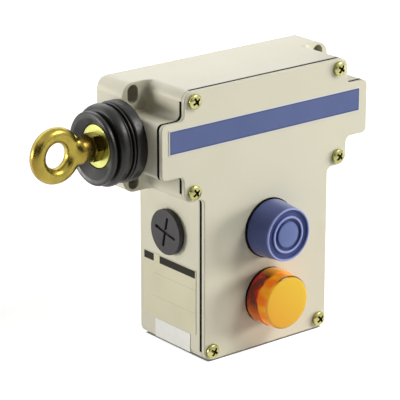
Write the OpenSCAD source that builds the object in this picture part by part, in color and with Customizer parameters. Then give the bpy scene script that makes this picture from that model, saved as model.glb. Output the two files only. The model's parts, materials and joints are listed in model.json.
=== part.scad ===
// Rope pull switch: a die-cast T-shaped housing with an eyebolt and rubber boot at one
// end, a booted reset button and a pilot light on the front cover.
// Millimetres. +X to the right, +Y towards the wall, +Z up. The origin is on the back
// mounting face, under the rope axis, on the centre line of the stem.

/* [Housing] */
// Width of the head block, in front of the fixing wings
head_w = 105.6; // [103:0.2:110]
// Height of the head block
head_h = 56; // [54:0.5:60]
// Width over the fixing wings and the middle band
band_w = 133; // [130:0.5:140]
// Height of the middle band
band_h = 28; // [27:0.5:31]
// Width of the stem
stem_w = 80.6; // [78:0.2:88]
// Distance from the rope axis down to the bottom face
drop = 114; // [112:0.5:124]
// Depth from the mounting face to the face of the cover
depth = 51.5; // [51:0.5:56]
// Thickness of the side walls
wall = 3.2; // [2.8:0.1:3.6]
// Thickness of the rear wall
back_wall = 3.6; // [3:0.2:5]
// Depth of the fixing wings
wing_t = 20.5; // [16:0.5:24]
// Radius of the outer corners
corner_r = 5; // [4:0.25:6]
// Radius of the fixing wings' outer corners
wing_r = 7; // [4:0.25:7.5]
// Radius of the corners of the middle band
band_r = 2.7; // [1.5:0.1:4]
// Radius of the inner corners of the outline
neck_r = 3; // [2:0.25:4]
// Radius of the fillets in front of the wings
wing_fillet_r = 3; // [1.5:0.25:6]
// Radius of the rear edges at the top and the bottom
rear_r = 2; // [1:0.25:3]

/* [Cover] */
// Thickness of the front cover
cover_t = 2.2; // [1.8:0.1:3]
// Gap between cover and housing, which the gasket fills
seam = 1.4; // [0.6:0.1:1.6]
// Distance of the gasket's edge from the outline
gasket_inset = 0.3; // [0.2:0.1:1]
// Distance of the head's cover screws from the side of the head block
screw_side = 6.1; // [5.6:0.1:7]
// Distance of the head's cover screws from its top and bottom
screw_end = 4.95; // [4.8:0.05:6]
// Distance of the stem's cover screws from its side and its bottom
foot_screw = 4.95; // [4.8:0.05:6]
// Diameter of the cover screws' heads
screw_head_d = 7.4; // [6.8:0.1:8]
// Height of the cover screws' heads
screw_head_h = 2.7; // [2:0.1:3.4]

/* [Fixing and entries] */
// Distance between the left and right fixing slots
slot_span = 120; // [118:0.5:121]
// Distance between the upper and lower fixing slots
slot_rise = 44; // [42:0.5:45]
// Width of a fixing slot
slot_w = 6.2; // [5:0.1:6.6]
// Length of a fixing slot
slot_len = 9.2; // [7.5:0.1:10]
// Bore of the cable entries, at the thread's crest
entry_d = 18.8; // [16:0.2:20]
// Height of the side entries' axis below the rope axis
entry_drop = 51.9; // [50:0.1:56]
// Depth of the entries' axis in front of the wall
entry_y = 24.3; // [22:0.1:26]
// Diameter of the blanking plugs' heads
plug_head_d = 23.6; // [22:0.2:26]
// Thickness of the blanking plugs' heads, on their seals
plug_head_t = 2.8; // [1.6:0.1:3.4]

/* [Rope end] */
// Distance of the rope axis from the wall
rope_depth = 20.7; // [20.6:0.1:24]
// Pull of the rope from rest to the stop
rope_travel = 12; // [8:0.5:12]
// Diameter of the pull rod
rod_d = 10; // [9:0.1:10]
// Hole in the eye for the rope
eye_d = 12.6; // [12:0.1:14]
// Thickness of the eye's ring
eye_wire = 7.8; // [6.5:0.1:8.5]
// Distance from the lock nut to the middle of the eye
eye_reach = 17.5; // [17.25:0.25:22]
// Diameter of the eyebolt's collar
collar_d = 14; // [12:0.2:15]
// Diameter of the eyebolt's thread
eye_thread_d = 8; // [7:0.2:8]
// Width of the lock nut across its flats
nut_af = 13; // [12:0.5:14]
// Thickness of the lock nut
nut_t = 6.5; // [4:0.25:7]
// Diameter of the washer in the boot
eye_washer_d = 21.6; // [19:0.2:22]
// Thickness of the washer in the boot
eye_washer_t = 1.6; // [1.2:0.1:2]

/* [Boot] */
// Diameter of the boot's flange on the housing
boot_flange_d = 40.8; // [38:0.2:41.4]
// Diameter of the boot's large fold
boot_fold_d = 40.2; // [37.8:0.2:40.8]
// Diameter of the boot's front disc
boot_front_d = 37.8; // [35:0.2:39]
// Length of the boot from the housing to its front
boot_len = 18.6; // [18.2:0.1:20]
// Depth of the recess for the washer in the boot's front
boot_recess = 3.9; // [3:0.1:4.2]

/* [Reset button and pilot light] */
// Distance of the reset button below the rope axis
reset_drop = 51.5; // [51:0.25:54]
// Distance between reset button and pilot light
pitch = 36; // [34:0.5:38]
// Diameter of the holes in the cover
panel_hole_d = 22.4; // [22.2:0.1:23]
// Diameter of the heads at the panel
head_base_d = 30; // [29:0.2:31]
// Height of the heads above the cover
head_rise = 15.5; // [14.5:0.1:17]
// Travel of the reset button
reset_travel = 4; // [2:0.25:4]
// Diameter of the ridge ring on the reset button's front
reset_ring_d = 19.8; // [17:0.2:21]
// Diameter of the raised dome on the reset button's front
reset_dome_d = 13.6; // [10:0.2:15]

/* [Labels] */
// Length of the blue strip on the cover
strip_l = 123.4; // [110:0.2:126]
// Height of the blue strip
strip_h = 12.6; // [10:0.2:14]
// Width of the data plate on the stem's side
data_plate_w = 42.4; // [30:0.2:44]
// Width of the reference sticker
sticker_w = 28.4; // [20:0.2:34]
// Height of the reference sticker
sticker_h = 9.8; // [6:0.2:11]
// Thickness of the strip and the plates
label_t = 0.3; // [0.2:0.05:0.5]

/* [Mechanism] */
// Rise of the switch cam for each millimetre of pull
cam_slope = 0.25; // [0.2:0.01:0.25]
// Diameter of the contact plungers
plunger_d = 4; // [3:0.1:4.4]
// Diameter of the main spring, over its wire
spring_d = 19; // [17:0.2:19.4]
// Wire of the main spring
spring_wire = 1.8; // [1.4:0.1:2]
// Diameter of the latch lever's pin
latch_pin_d = 4; // [3:0.1:5]
// Width of the latch lever
latch_w = 8; // [6:0.25:9]

/* [Hidden] */
$fn = 64;

eps = 0.01;            // overlap that makes cuts clean
run_gap = 0.05;        // radial clearance of a running fit
free_gap = 0.4;        // gap between pieces that pass each other

hw = head_w / 2;
hh = head_h / 2;
bw = band_w / 2;
bh = band_h / 2;
sw = stem_w / 2;
cover_back = -depth + cover_t;      // back face of the cover
rim_y = cover_back + seam;          // front face of the housing's rim
rope_y = -rope_depth;

// Cover screws: four at the head's corners, two at the foot of the stem
screw_spots = [
  for (x = [-1, 1], z = [-1, 1]) [x * (hw - screw_side), z * (hh - screw_end)],
  for (x = [-1, 1]) [x * (sw - foot_screw), -drop + foot_screw]
];
// The outline's corners next to the screws
pad_corners = [
  for (x = [-1, 1], z = [-1, 1]) [x * hw, z * hh],
  for (x = [-1, 1]) [x * sw, -drop]
];
screw_d = 4;
screw_tap_d = 3.3;
post_d = 13;           // screw post in the housing
pad_d = 8.8;           // raised pad round a cover screw
pad_reach = 4.7;       // how far a pad runs along the outline from its corner

// Rope axis, from the left: distances u are measured outwards from the left wall
rod_nose_u = boot_len - boot_recess;                 // rod's front end, the washer's seat
washer_face_u = rod_nose_u + eye_washer_t;
nut_face_u = washer_face_u + nut_t;
eye_u = nut_face_u + eye_reach;
eye_r = (eye_d + eye_wire) / 2;                      // middle line of the eye's ring
spigot_d = 26;         // cast spigot that carries the boot
spigot_l = 6;
bush_wall = 2.5;
bush_d = rod_d + 2 * bush_wall;
bush_flange_d = 19;
bush_flange_t = 2;
spring_left = -bw + wall + bush_flange_t;            // main spring's fixed end

// Reset unit and latch
reset_x = 1.3;
reset_z = -reset_drop;
pilot_x = 0.8;
pilot_z = reset_z - pitch;
latch_arm = 19.5;      // latch pivot above the reset button's axis
latch_z = reset_z + latch_arm;
latch_y = -30;
latch_hub_d = 10;
latch_bar = 3;         // thickness of the lever's arms
latch_foot_y = -33.6;  // back face of the lower arm
ear_t = 2.8;
ear_gap = 1;
catch_d = 16;          // catch collar on the pull rod
catch_right = reset_x + latch_w / 2 + 1.2;
catch_left = reset_x - latch_w / 2 - 6.5;
collar_t = 3;
spring_right = catch_left - collar_t;                // main spring's moving end

// Switch cam and contacts. Their lengths along the rope follow the width of the band
cam_gap = band_w * 0.026;                            // catch collar to cam
cam_lead = band_w * 0.038;                           // cam in front of its ramp
plunger_rest = band_w * 0.034;                       // ramp behind the plunger at rest
ramp_spare = band_w * 0.019;                         // ramp that a full pull leaves over
cam_heel = band_w * 0.015;                           // cam behind its ramp
tail_grip = band_w * 0.059;                          // rod in the tail bush at full pull
cam_left = catch_right + cam_gap;
cam_h = 30;
cam_back = 2;          // cam behind the rod
cam_low = 2;           // cam in front of the rod, at its low end
cam_low_y = rope_y - rod_d / 2 - cam_low;
ramp_start = cam_left + cam_lead;
plunger_x = ramp_start + plunger_rest;
ramp_end = plunger_x + rope_travel + ramp_spare;
cam_right = ramp_end + cam_heel;
cam_len = cam_right - cam_left;
cam_pin_x = cam_right - 6;
plunger_z = 11.25;
plunger_tip_r = plunger_d / 2;
rod_end = bw - wall - 2.5;
tail_left = rod_end - rope_travel - tail_grip;       // tail bush's inner end
bracket_t = 1.5;
cam_high_y = cam_low_y - cam_slope * (ramp_end - ramp_start);
bracket_y = cam_high_y - 0.55;                       // back face of the bracket's front plate
bracket_h = 44;
bracket_foot = 10;
bracket_boss_h = 3;
block_w = 26;
block_h = 20.5;
block_front_gap = 1.8;                               // blocks to the cover
block_d = bracket_y - bracket_t - cover_back - block_front_gap;
block_left = cam_left + 1;
block_z = [plunger_z, -plunger_z];

// --------------------------------------------------------------------------
// Placing helpers

// Extrudes an outline drawn in X and Z, from y_back forwards by t
module plate(y_back, t) {
  translate([0, y_back, 0]) rotate([90, 0, 0]) linear_extrude(t) children();
}

// Extrudes an outline drawn in Y and Z, from x_left to the right by w
module wide(x_left, w) {
  translate([x_left, 0, 0]) rotate([90, 0, 90]) linear_extrude(w) children();
}

// Stands a piece built along +Z on a plane y, pointing to the front
module facing(x, z, y) {
  translate([x, y, z]) rotate([90, 0, 0]) children();
}

// Stands a piece built along +Z on the rope axis at distance u from the left wall
module on_rope(u) {
  translate([-bw - u, rope_y, 0]) rotate([0, -90, 0]) children();
}

// Cylinder on the rope axis from x0 to x1
module rope_cyl(x0, x1, d) {
  translate([x0, rope_y, 0]) rotate([0, 90, 0]) cylinder(h = x1 - x0, d = d);
}

// Points a piece built along +Z out of a side wall: side is -1 left, 1 right
module from_side(side, x, y, z) {
  translate([side * x, y, z]) rotate([0, side * 90, 0]) children();
}

// Ring between two diameters
module tube(h, od, id) {
  difference() {
    cylinder(h = h, d = od);
    translate([0, 0, -eps]) cylinder(h = h + 2 * eps, d = id);
  }
}

// Open helix of round wire along +Z, with its ends on z = 0 and z = length
module coil(mean_d, wire, length, turns, sides = 8, steps = 14) {
  n = ceil(turns * steps);
  points = [
    for (i = [0 : n], j = [0 : sides - 1])
      let (a = 360 * turns * i / n, b = 360 * j / sides)
      let (r = mean_d / 2 + wire / 2 * cos(b))
      [r * cos(a), r * sin(a), wire / 2 * (1 + sin(b)) + (length - wire) * i / n]
  ];
  walls = [
    for (i = [0 : n - 1], j = [0 : sides - 1])
      let (p = i * sides, q = p + sides, k = (j + 1) % sides)
      each [[p + j, p + k, q + k], [p + j, q + k, q + j]]
  ];
  ends = [[for (j = [sides - 1 : -1 : 0]) j], [for (j = [0 : sides - 1]) n * sides + j]];
  polyhedron(points = points, faces = concat(walls, ends), convexity = 8);
}

// --------------------------------------------------------------------------
// Outlines

// Rectangle with round corners, given by its middle, half width and half height
module round_rect(a, b, r) {
  square([2 * a, 2 * (b - r)], center = true);
  square([2 * (a - r), 2 * b], center = true);
  for (x = [-1, 1], z = [-1, 1]) translate([x * (a - r), z * (b - r)]) circle(r);
}

// Fillet in an inner corner at (x, z), filling towards the directions dx and dz
module inner_fillet(x, z, dx, dz, r) {
  translate([x, z]) difference() {
    translate([dx * (r - eps) / 2, dz * (r - eps) / 2]) square(r + eps, center = true);
    translate([dx * r, dz * r]) circle(r);
  }
}

// The front outline, moved inwards by d all round
module tee(d) {
  r = max(corner_r - d, 0.8);
  stem_top = bh - d - band_r;
  stem_half = (drop - d + stem_top) / 2;
  round_rect(hw - d, hh - d, r);
  round_rect(bw - d, bh - d, max(band_r - d, 0.6));
  translate([0, stem_top - stem_half]) round_rect(sw - d, stem_half, r);
  for (s = [-1, 1], t = [-1, 1]) {
    inner_fillet(s * (hw - d), t * (bh - d), s, t, neck_r);
  }
  for (s = [-1, 1]) inner_fillet(s * (sw - d), -hh + d, s, -1, neck_r);
}

// Pads where cover and housing meet, round the screws and out to the corners
module pads(extra) {
  intersection() {
    tee(-extra);
    union() {
      for (p = screw_spots) translate(p) circle(d = pad_d + 2 * extra);
      for (c = pad_corners) translate(c) square(2 * (pad_reach + extra), center = true);
    }
  }
}

// Vertical slot with round ends
module slot_outline(w, len) {
  square([w, len - w], center = true);
  for (s = [-1, 1]) translate([0, s * (len - w) / 2]) circle(d = w);
}

// Side profile of the housing, in Y and Z, with round rear edges
module side_profile() {
  translate([-depth, (hh - drop) / 2]) round_rect(depth, (hh + drop) / 2, rear_r);
}

// --------------------------------------------------------------------------
// Housing

module housing_body() {
  color("#dcdac8") difference() {
    union() {
      shell();
      intersection() {
        union() {
          for (p = screw_spots) facing(p[0], p[1], -back_wall + eps) {
            cylinder(h = -rim_y - back_wall + eps, d = post_d);
          }
          entry_bosses();
        }
        plate(0, -rim_y) tee(wall / 2);
      }
      plate(rim_y + eps, seam + eps) pads(0);
      tail_boss();
      latch_ears();
      bracket_bosses();
      stem_ribs();
      facing(earth_x, earth_z, -back_wall + eps) cylinder(h = earth_h, d = 10);
      on_rope(-eps) cylinder(h = spigot_l + eps, d = spigot_d);
    }
    for (p = screw_spots) facing(p[0], p[1], rim_y + tap_depth) {
      cylinder(h = tap_depth + seam + 1, d = screw_tap_d);
    }
    on_rope(-wall - 1) cylinder(h = wall + spigot_l + 2, d = bush_d);
    rope_cyl(tail_left - 1, bw - wall, bush_d);
    entry_cuts();
    facing(earth_x, earth_z, -back_wall + eps) cylinder(h = earth_h + 1, d = screw_tap_d);
    translate([latch_ear_left - 1, latch_y, latch_z]) rotate([0, 90, 0]) {
      cylinder(h = latch_ear_right - latch_ear_left + 2, d = latch_pin_d);
    }
    for (p = bracket_spots) facing(p[0], p[1], -back_wall + eps) {
      cylinder(h = bracket_boss_h + 1, d = bracket_tap_d);
    }
  }
}

tap_depth = 14;
earth_x = -22;
earth_z = -98;
earth_h = 6;

// Outer walls, wings and the open hollow
module shell() {
  difference() {
    intersection() {
      union() {
        plate(0, -rim_y) tee(0);
        plate(0, wing_t) round_rect(bw, hh, wing_r);
        wing_fillets();
      }
      wide(-bw - 1, band_w + 2) side_profile();
    }
    plate(-back_wall, depth) tee(wall);
    for (x = [-1, 1], z = [-1, 1]) {
      translate([x * slot_span / 2, 0, z * slot_rise / 2]) {
        plate(1, wing_t + 2) slot_outline(slot_w, slot_len);
      }
    }
  }
}

// Concave fillets on the wings' fronts, along the head's sides and round its corners
module wing_fillets() {
  r = wing_fillet_r;
  front = -wing_t + eps;
  intersection() {
    for (x = [0, 1], z = [0, 1]) mirror([x, 0, 0]) mirror([0, 0, z]) {
      translate([hw - eps, front, bh]) {
        linear_extrude(hh - bh - corner_r) inner_fillet(0, 0, 1, -1, r);
      }
      facing(hw - corner_r, hh - corner_r, front) rotate_extrude(angle = 75) {
        translate([corner_r - eps, 0]) inner_fillet(0, 0, 1, 1, r);
      }
    }
    plate(0, depth) round_rect(bw, hh, wing_r);
  }
}

// Boss that carries the tail bush, inside the right end of the band
tail_boss_d = bush_d + 4;
module tail_boss() {
  rope_cyl(tail_left, bw - wall + eps, tail_boss_d);
}

// Two cast ears with the latch pin through them
latch_ear_left = reset_x - latch_w / 2 - ear_gap - ear_t;
latch_ear_right = reset_x + latch_w / 2 + ear_gap + ear_t;
module latch_ears() {
  for (x = [latch_ear_left, latch_ear_right - ear_t]) wide(x, ear_t) {
    translate([latch_y, latch_z - 5]) square([-latch_y - back_wall + eps, 10]);
    translate([latch_y, latch_z]) circle(d = 10);
  }
}

// Bosses for the feet of the contact bracket
bracket_tap_d = 2.5;
bracket_spots = [
  for (x = [block_left + 4, block_left + block_w - 4], z = [-1, 1])
    [x, z * (bracket_h / 2 - 6)]
];
module bracket_bosses() {
  for (p = bracket_spots) facing(p[0], p[1], -back_wall + eps) {
    cylinder(h = bracket_boss_h + eps, d = 7);
  }
}

// Low cast ribs across the rear wall of the stem
rib_t = 2.4;
rib_h = 3;
module stem_ribs() {
  for (k = [0 : 2]) {
    translate([-sw + wall / 2, -back_wall - rib_h, pilot_z + 16 - 12 * k]) {
      cube([stem_w - wall, rib_h + eps, rib_t]);
    }
  }
}

// Thick rings inside the walls round the three cable entries
entry_boss_d = entry_d + 7;
entry_boss_t = 4.5;
module entry_bosses() {
  for (side = [-1, 1]) {
    from_side(side, sw - wall - entry_boss_t, -entry_y, -entry_drop) {
      cylinder(h = entry_boss_t + wall / 2, d = entry_boss_d);
    }
  }
  translate([0, -entry_y, -drop + wall / 2]) {
    cylinder(h = entry_boss_t + wall / 2, d = entry_boss_d);
  }
}

module entry_cuts() {
  for (side = [-1, 1]) {
    from_side(side, sw - wall - entry_boss_t - 1, -entry_y, -entry_drop) {
      cylinder(h = entry_boss_t + wall + 2, d = entry_d);
    }
  }
  translate([0, -entry_y, -drop - 1]) {
    cylinder(h = entry_boss_t + wall + 2, d = entry_d);
  }
}

// --------------------------------------------------------------------------
// Cover

module front_cover() {
  color("#e0decb") difference() {
    plate(cover_back, cover_t) tee(0);
    for (p = screw_spots) facing(p[0], p[1], cover_back + 1) {
      cylinder(h = cover_t + 2, d = screw_d + 0.5);
    }
    facing(reset_x, reset_z, cover_back + 1) cylinder(h = cover_t + 2, d = panel_hole_d);
    facing(pilot_x, pilot_z, cover_back + 1) cylinder(h = cover_t + 2, d = panel_hole_d);
  }
}

// Flat gasket that runs inside the screws
module cover_gasket() {
  color("#2a2a28") plate(rim_y, seam) difference() {
    intersection() {
      tee(gasket_inset);
      union() {
        difference() {
          tee(0);
          tee(wall + 0.3);
        }
        for (p = screw_spots) translate(p) circle(d = post_d);
      }
    }
    pads(0.2);
  }
}

// Pan head screws with a cross recess
module cross_screw(d, head_d, head_h, length) {
  difference() {
    union() {
      intersection() {
        cylinder(h = head_h, d = head_d);
        translate([0, 0, head_h - head_d * 0.9]) sphere(r = head_d * 0.9, $fn = 48);
      }
      translate([0, 0, -length]) cylinder(h = length + eps, d = d);
    }
    for (a = [0, 90]) rotate(a) translate([0, 0, head_h]) {
      cube([head_d * 0.62, head_d * 0.15, head_h * 1.1], center = true);
    }
  }
}

module cover_screws() {
  color("#c9b458") for (p = screw_spots) facing(p[0], p[1], -depth) {
    cross_screw(screw_tap_d, screw_head_d, screw_head_h, cover_t + seam + tap_depth - 3);
  }
}

// --------------------------------------------------------------------------
// Labels

strip_x = -0.4;
strip_z = 4.55;
module front_label() {
  color("#6470a8") plate(-depth, label_t) translate([strip_x, strip_z]) {
    round_rect(strip_l / 2, strip_h / 2, 0.6);
  }
}

// Plates on the left side of the stem, both bare
plate_y = -24;
module side_plate(z_mid, w, h) {
  translate([-sw - label_t, plate_y, z_mid]) rotate([90, 0, 90]) {
    linear_extrude(label_t) round_rect(w / 2, h / 2, 0.6);
  }
}

sticker_z = -drop + rear_r + 0.1 + sticker_h / 2;
plate_top = -entry_drop - plug_head_d / 2 - 3.4;
plate_bottom = sticker_z + sticker_h / 2 + 0.7;
module data_plate() {
  color("#d8d5c0") {
    side_plate((plate_top + plate_bottom) / 2, data_plate_w, plate_top - plate_bottom);
  }
}

module reference_sticker() {
  color("#f2f1ea") translate([0, -2.4, 0]) side_plate(sticker_z, sticker_w, sticker_h);
}

// --------------------------------------------------------------------------
// Rope end

// Flanged bronze bush pressed into the boot's spigot
module nose_bush() {
  color("#b08d4a") difference() {
    union() {
      on_rope(-wall) cylinder(h = wall + spigot_l - 1, d = bush_d);
      on_rope(-wall - bush_flange_t) cylinder(h = bush_flange_t, d = bush_flange_d);
    }
    on_rope(-wall - bush_flange_t - 1) {
      cylinder(h = wall + spigot_l + bush_flange_t + 2, d = rod_d + 2 * run_gap);
    }
  }
}

module tail_bush() {
  color("#b08d4a") translate([tail_left, rope_y, 0]) rotate([0, 90, 0]) {
    tube(bw - wall - tail_left - 1, bush_d, rod_d + 2 * run_gap);
  }
}

// Rubber bellows: a thick flange, two thin ribs, a large fold and a front disc, which is
// dished down to the washer
module boot() {
  flange_r = boot_flange_d / 2;
  fold_r = boot_fold_d / 2;
  front_r = boot_front_d / 2;
  flange_t = 5.7;
  rib_r = 0.6;
  fold_start = 9.6;
  fold_end = boot_len - 2.6;
  fold_edge = 2;
  web_in = rod_nose_u - 3;
  seat_r = eye_washer_d / 2 + 0.4;
  color("#2b2a2c") on_rope(0) difference() {
    rotate_extrude() union() {
      square([fold_r - 2.4, boot_len - 1.2]);
      square([flange_r, flange_t - 1]);
      square([flange_r - 1, flange_t]);
      translate([flange_r - 1, flange_t - 1]) circle(1);
      for (k = [0, 1]) translate([fold_r - 0.6 - rib_r - 0.8 * k, flange_t + 1.2 + 1.8 * k]) {
        circle(rib_r);
        translate([-2, -rib_r]) square([2, 2 * rib_r]);
      }
      for (u = [fold_start + fold_edge, fold_end - fold_edge]) {
        translate([fold_r - fold_edge, u]) circle(fold_edge);
      }
      translate([0, fold_start]) square([fold_r - fold_edge, fold_end - fold_start]);
      translate([0, fold_start + fold_edge]) {
        square([fold_r, fold_end - fold_start - 2 * fold_edge]);
      }
      translate([front_r - 0.9, boot_len - 1.6]) circle(0.9);
      translate([front_r - 2.5, boot_len - 1]) circle(1);
      translate([0, boot_len - 1.7]) square([front_r - 2.5, 1.7]);
    }
    translate([0, 0, -eps]) cylinder(h = spigot_l - 1 + eps, d = spigot_d);
    translate([0, 0, 2.6]) cylinder(h = web_in - 2.6, r = fold_r - 4.2);
    cylinder(h = boot_len, d = rod_d + 1.6);
    translate([0, 0, rod_nose_u]) cylinder(h = boot_len, r = seat_r);
    translate([0, 0, washer_face_u]) {
      cylinder(h = boot_len - washer_face_u + eps, r1 = seat_r, r2 = front_r - 3.2);
    }
  }
}

// Forged eye with a collar and a threaded shank
module eyebolt() {
  collar_l = eye_reach - eye_r - 1;
  collar_edge = 1.4;
  color("#c8ab3c") {
    on_rope(nut_face_u) {
      cylinder(h = collar_l - collar_edge, d = collar_d);
      translate([0, 0, collar_l - collar_edge - eps]) {
        cylinder(h = collar_edge + eps, d1 = collar_d, d2 = collar_d - 2 * collar_edge);
      }
    }
    on_rope(nut_face_u - eye_shank_l) {
      cylinder(h = eye_shank_l + eps, d = eye_thread_d);
    }
    on_rope(eye_u) rotate([90, 0, 0]) rotate_extrude() translate([eye_r, 0]) {
      circle(d = eye_wire);
    }
  }
}

eye_shank_l = nut_t + 14;
module lock_nut() {
  color("#c8ab3c") on_rope(washer_face_u) difference() {
    intersection() {
      cylinder(h = nut_t, r = nut_af / sqrt(3), $fn = 6);
      translate([0, 0, nut_t / 2]) sphere(r = nut_af * 0.6, $fn = 64);
    }
    translate([0, 0, -1]) cylinder(h = nut_t + 2, d = eye_thread_d + 2 * run_gap);
  }
}

module eye_washer() {
  color("#d8bf58") on_rope(rod_nose_u) {
    tube(eye_washer_t, eye_washer_d, eye_thread_d + 2 * run_gap);
  }
}

// Steel rod through the whole head, with the catch collar turned on it
module pull_rod() {
  color("#b9bcc0") difference() {
    union() {
      rope_cyl(-bw - rod_nose_u, rod_end, rod_d);
      rope_cyl(catch_left, catch_right, catch_d);
    }
    rope_cyl(-bw - rod_nose_u - 1, -bw - rod_nose_u + eye_shank_l - nut_t, eye_thread_d + 2 * run_gap);
    translate([cam_pin_x, rope_y, 0]) cylinder(h = 2 * cam_h, d = cam_pin_d, center = true);
  }
}

module spring_collar() {
  color("#9a9da2") translate([spring_right, rope_y, 0]) rotate([0, 90, 0]) {
    tube(collar_t, bush_flange_d, rod_d + 2 * run_gap);
  }
}

module main_spring() {
  color("#8b8f96") translate([spring_left, rope_y, 0]) rotate([0, 90, 0]) {
    coil(spring_d - spring_wire, spring_wire, spring_right - spring_left, 9);
  }
}

// --------------------------------------------------------------------------
// Switch cam and contacts

cam_pin_d = 3;

// Sliding block with a ramp on its front, pinned to the rod
module switch_cam() {
  back_y = rope_y + rod_d / 2 + cam_back;
  color("#3a4a5c") difference() {
    translate([0, 0, -cam_h / 2]) linear_extrude(cam_h) polygon([
      [cam_left, back_y],
      [cam_right, back_y],
      [cam_right, cam_high_y],
      [ramp_end, cam_high_y],
      [ramp_start, cam_low_y],
      [cam_left, cam_low_y]
    ]);
    rope_cyl(cam_left - 1, cam_right + 1, rod_d);
    translate([cam_pin_x, rope_y, 0]) cylinder(h = 2 * cam_h, d = cam_pin_d, center = true);
    for (s = [-1, 1]) translate([cam_left + cam_len / 2 - 3, back_y, s * (cam_h / 2 - 3.6)]) {
      cube([cam_len - 10, 13, 3.6], center = true);
    }
  }
}

module cam_pin() {
  color("#9a9da2") translate([cam_pin_x, rope_y, 0]) {
    cylinder(h = cam_h - 4, d = cam_pin_d, center = true);
  }
}

// Bent sheet bridge over the cam, with two feet on the rear wall
module contact_bracket() {
  front_y = bracket_y - bracket_t;
  rear_y = -back_wall - bracket_boss_h;
  mid_y = (front_y + rear_y) / 2;
  half_y = (rear_y - front_y) / 2;
  color("#c6c8ca") difference() {
    wide(block_left, block_w) difference() {
      translate([mid_y, 0]) round_rect(half_y, bracket_h / 2, 2.5);
      translate([mid_y, 0]) round_rect(half_y - bracket_t, bracket_h / 2 - bracket_t, 1);
      translate([rear_y - 4, -bracket_h / 2 + bracket_foot]) {
        square([8, bracket_h - 2 * bracket_foot]);
      }
    }
    for (p = bracket_spots) facing(p[0], p[1], rear_y + 1) cylinder(h = 4, d = 3.4);
    for (z = block_z) facing(plunger_x, z, bracket_y + 1) cylinder(h = 4, d = plunger_d + 2);
  }
}

module bracket_screws() {
  color("#b9bcc0") for (p = bracket_spots) {
    facing(p[0], p[1], -back_wall - bracket_boss_h - bracket_t) {
      cross_screw(bracket_tap_d, 5.2, 1.9, bracket_t + bracket_boss_h - 0.5);
    }
  }
}

// Contact block: a moulded box with four open terminal wells
terminal_spots = [for (x = [3.6, block_w - 3.6], z = [-5.6, 5.6]) [x, z]];
module contact_block(z) {
  base_y = bracket_y - bracket_t;
  difference() {
    translate([block_left, base_y - block_d, z - block_h / 2]) {
      cube([block_w, block_d, block_h]);
    }
    for (t = terminal_spots) translate([block_left + t[0], 0, z + t[1]]) {
      facing(0, 0, base_y - block_d + terminal_well) {
        cylinder(h = terminal_well + 1, d = terminal_d + 0.8);
      }
    }
    for (s = [-1, 1]) {
      translate([block_left + block_w / 2, base_y - block_d, z + s * block_h / 2]) {
        cube([block_w - 15, 5, 6], center = true);
      }
      for (t = terminal_spots) translate([block_left + t[0], base_y - 4, z + s * block_h / 2]) {
        cube([3.4, 2.6, 5], center = true);
      }
    }
    facing(plunger_x, z, base_y + 1) cylinder(h = block_d, d = plunger_d + 2 * run_gap);
  }
}

module contact_block_nc() {
  color("#b8433a") contact_block(block_z[0]);
}

module contact_block_no() {
  color("#3f7a4a") contact_block(block_z[1]);
}

// Slotted terminal screw's head
terminal_d = 5.4;
terminal_h = 3.2;
module slotted_screw() {
  difference() {
    cylinder(h = terminal_h, d = terminal_d);
    translate([0, 0, terminal_h]) {
      cube([terminal_d + 1, terminal_d / 6, terminal_h * 0.6], center = true);
    }
  }
}

terminal_well = 5;
module contact_terminals() {
  color("#cfd2d4") for (z = block_z, t = terminal_spots) {
    facing(block_left + t[0], z + t[1], bracket_y - bracket_t - block_d + terminal_well) {
      slotted_screw();
    }
  }
}

// Round plunger whose domed tip rests on the cam's ramp
module plunger(z) {
  slope = atan(cam_slope);
  ramp_y = cam_low_y - cam_slope * (plunger_x - ramp_start);
  centre_y = ramp_y - (plunger_tip_r + 0.3) / cos(slope);
  tail_y = bracket_y - bracket_t - block_d + 6;
  facing(plunger_x, z, centre_y) {
    cylinder(h = centre_y - tail_y, d = plunger_d);
    sphere(d = plunger_d);
  }
}

module plunger_nc() {
  color("#e8e6dd") plunger(block_z[0]);
}

module plunger_no() {
  color("#e8e6dd") plunger(block_z[1]);
}

// --------------------------------------------------------------------------
// Latch

// Rocking lever: its nose stands at the catch collar, its foot behind the button
module latch_lever() {
  nose_y = rope_y - catch_d / 2 - free_gap;
  bar_y = latch_y - latch_hub_d / 2 + 1;
  foot_end = reset_z - 5;
  color("#a8abaf") wide(reset_x - latch_w / 2, latch_w) difference() {
    union() {
      translate([latch_y, latch_z]) circle(d = latch_hub_d);
      translate([bar_y - latch_bar + 1, latch_z]) square([latch_bar, -latch_z + 3]);
      translate([bar_y - latch_bar + 1, -3]) square([nose_y - bar_y + latch_bar - 1, 6]);
      translate([latch_foot_y - latch_bar, foot_end]) square([latch_bar, latch_z - foot_end]);
    }
    translate([latch_y, latch_z]) circle(d = latch_pin_d + 2 * run_gap);
  }
}

latch_spring_l = 3.4;
module latch_pin() {
  pin_l = latch_ear_right - latch_ear_left + latch_spring_l + 0.6;
  color("#8b8f96") translate([latch_ear_left, latch_y, latch_z]) rotate([0, 90, 0]) {
    cylinder(h = pin_l, d = latch_pin_d);
  }
}

// Coil spring on the outer end of the pin
module latch_spring() {
  wire = 0.8;
  color("#8b8f96") translate([latch_ear_right + 0.2, latch_y, latch_z]) {
    rotate([0, 90, 0]) coil(latch_pin_d + wire + 1, wire, latch_spring_l, 3.5);
  }
}

// --------------------------------------------------------------------------
// Reset button

neck_d = panel_hole_d - 0.4;
unit_nut_t = 4;
base_gasket_t = 1;
bezel_y = -depth - base_gasket_t;     // back face of the flanges on the cover
reset_stem_d = 12;
reset_web_y = -42;                    // back face of the web that guides the stem
reset_web_t = 4;
reset_front_y = -depth - head_rise;   // front of the booted button

module base_gasket(d) {
  tube(base_gasket_t, d, neck_d + 0.2);
}

module reset_gasket() {
  color("#232323") facing(reset_x, reset_z, -depth) base_gasket(head_base_d + 1);
}

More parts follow.
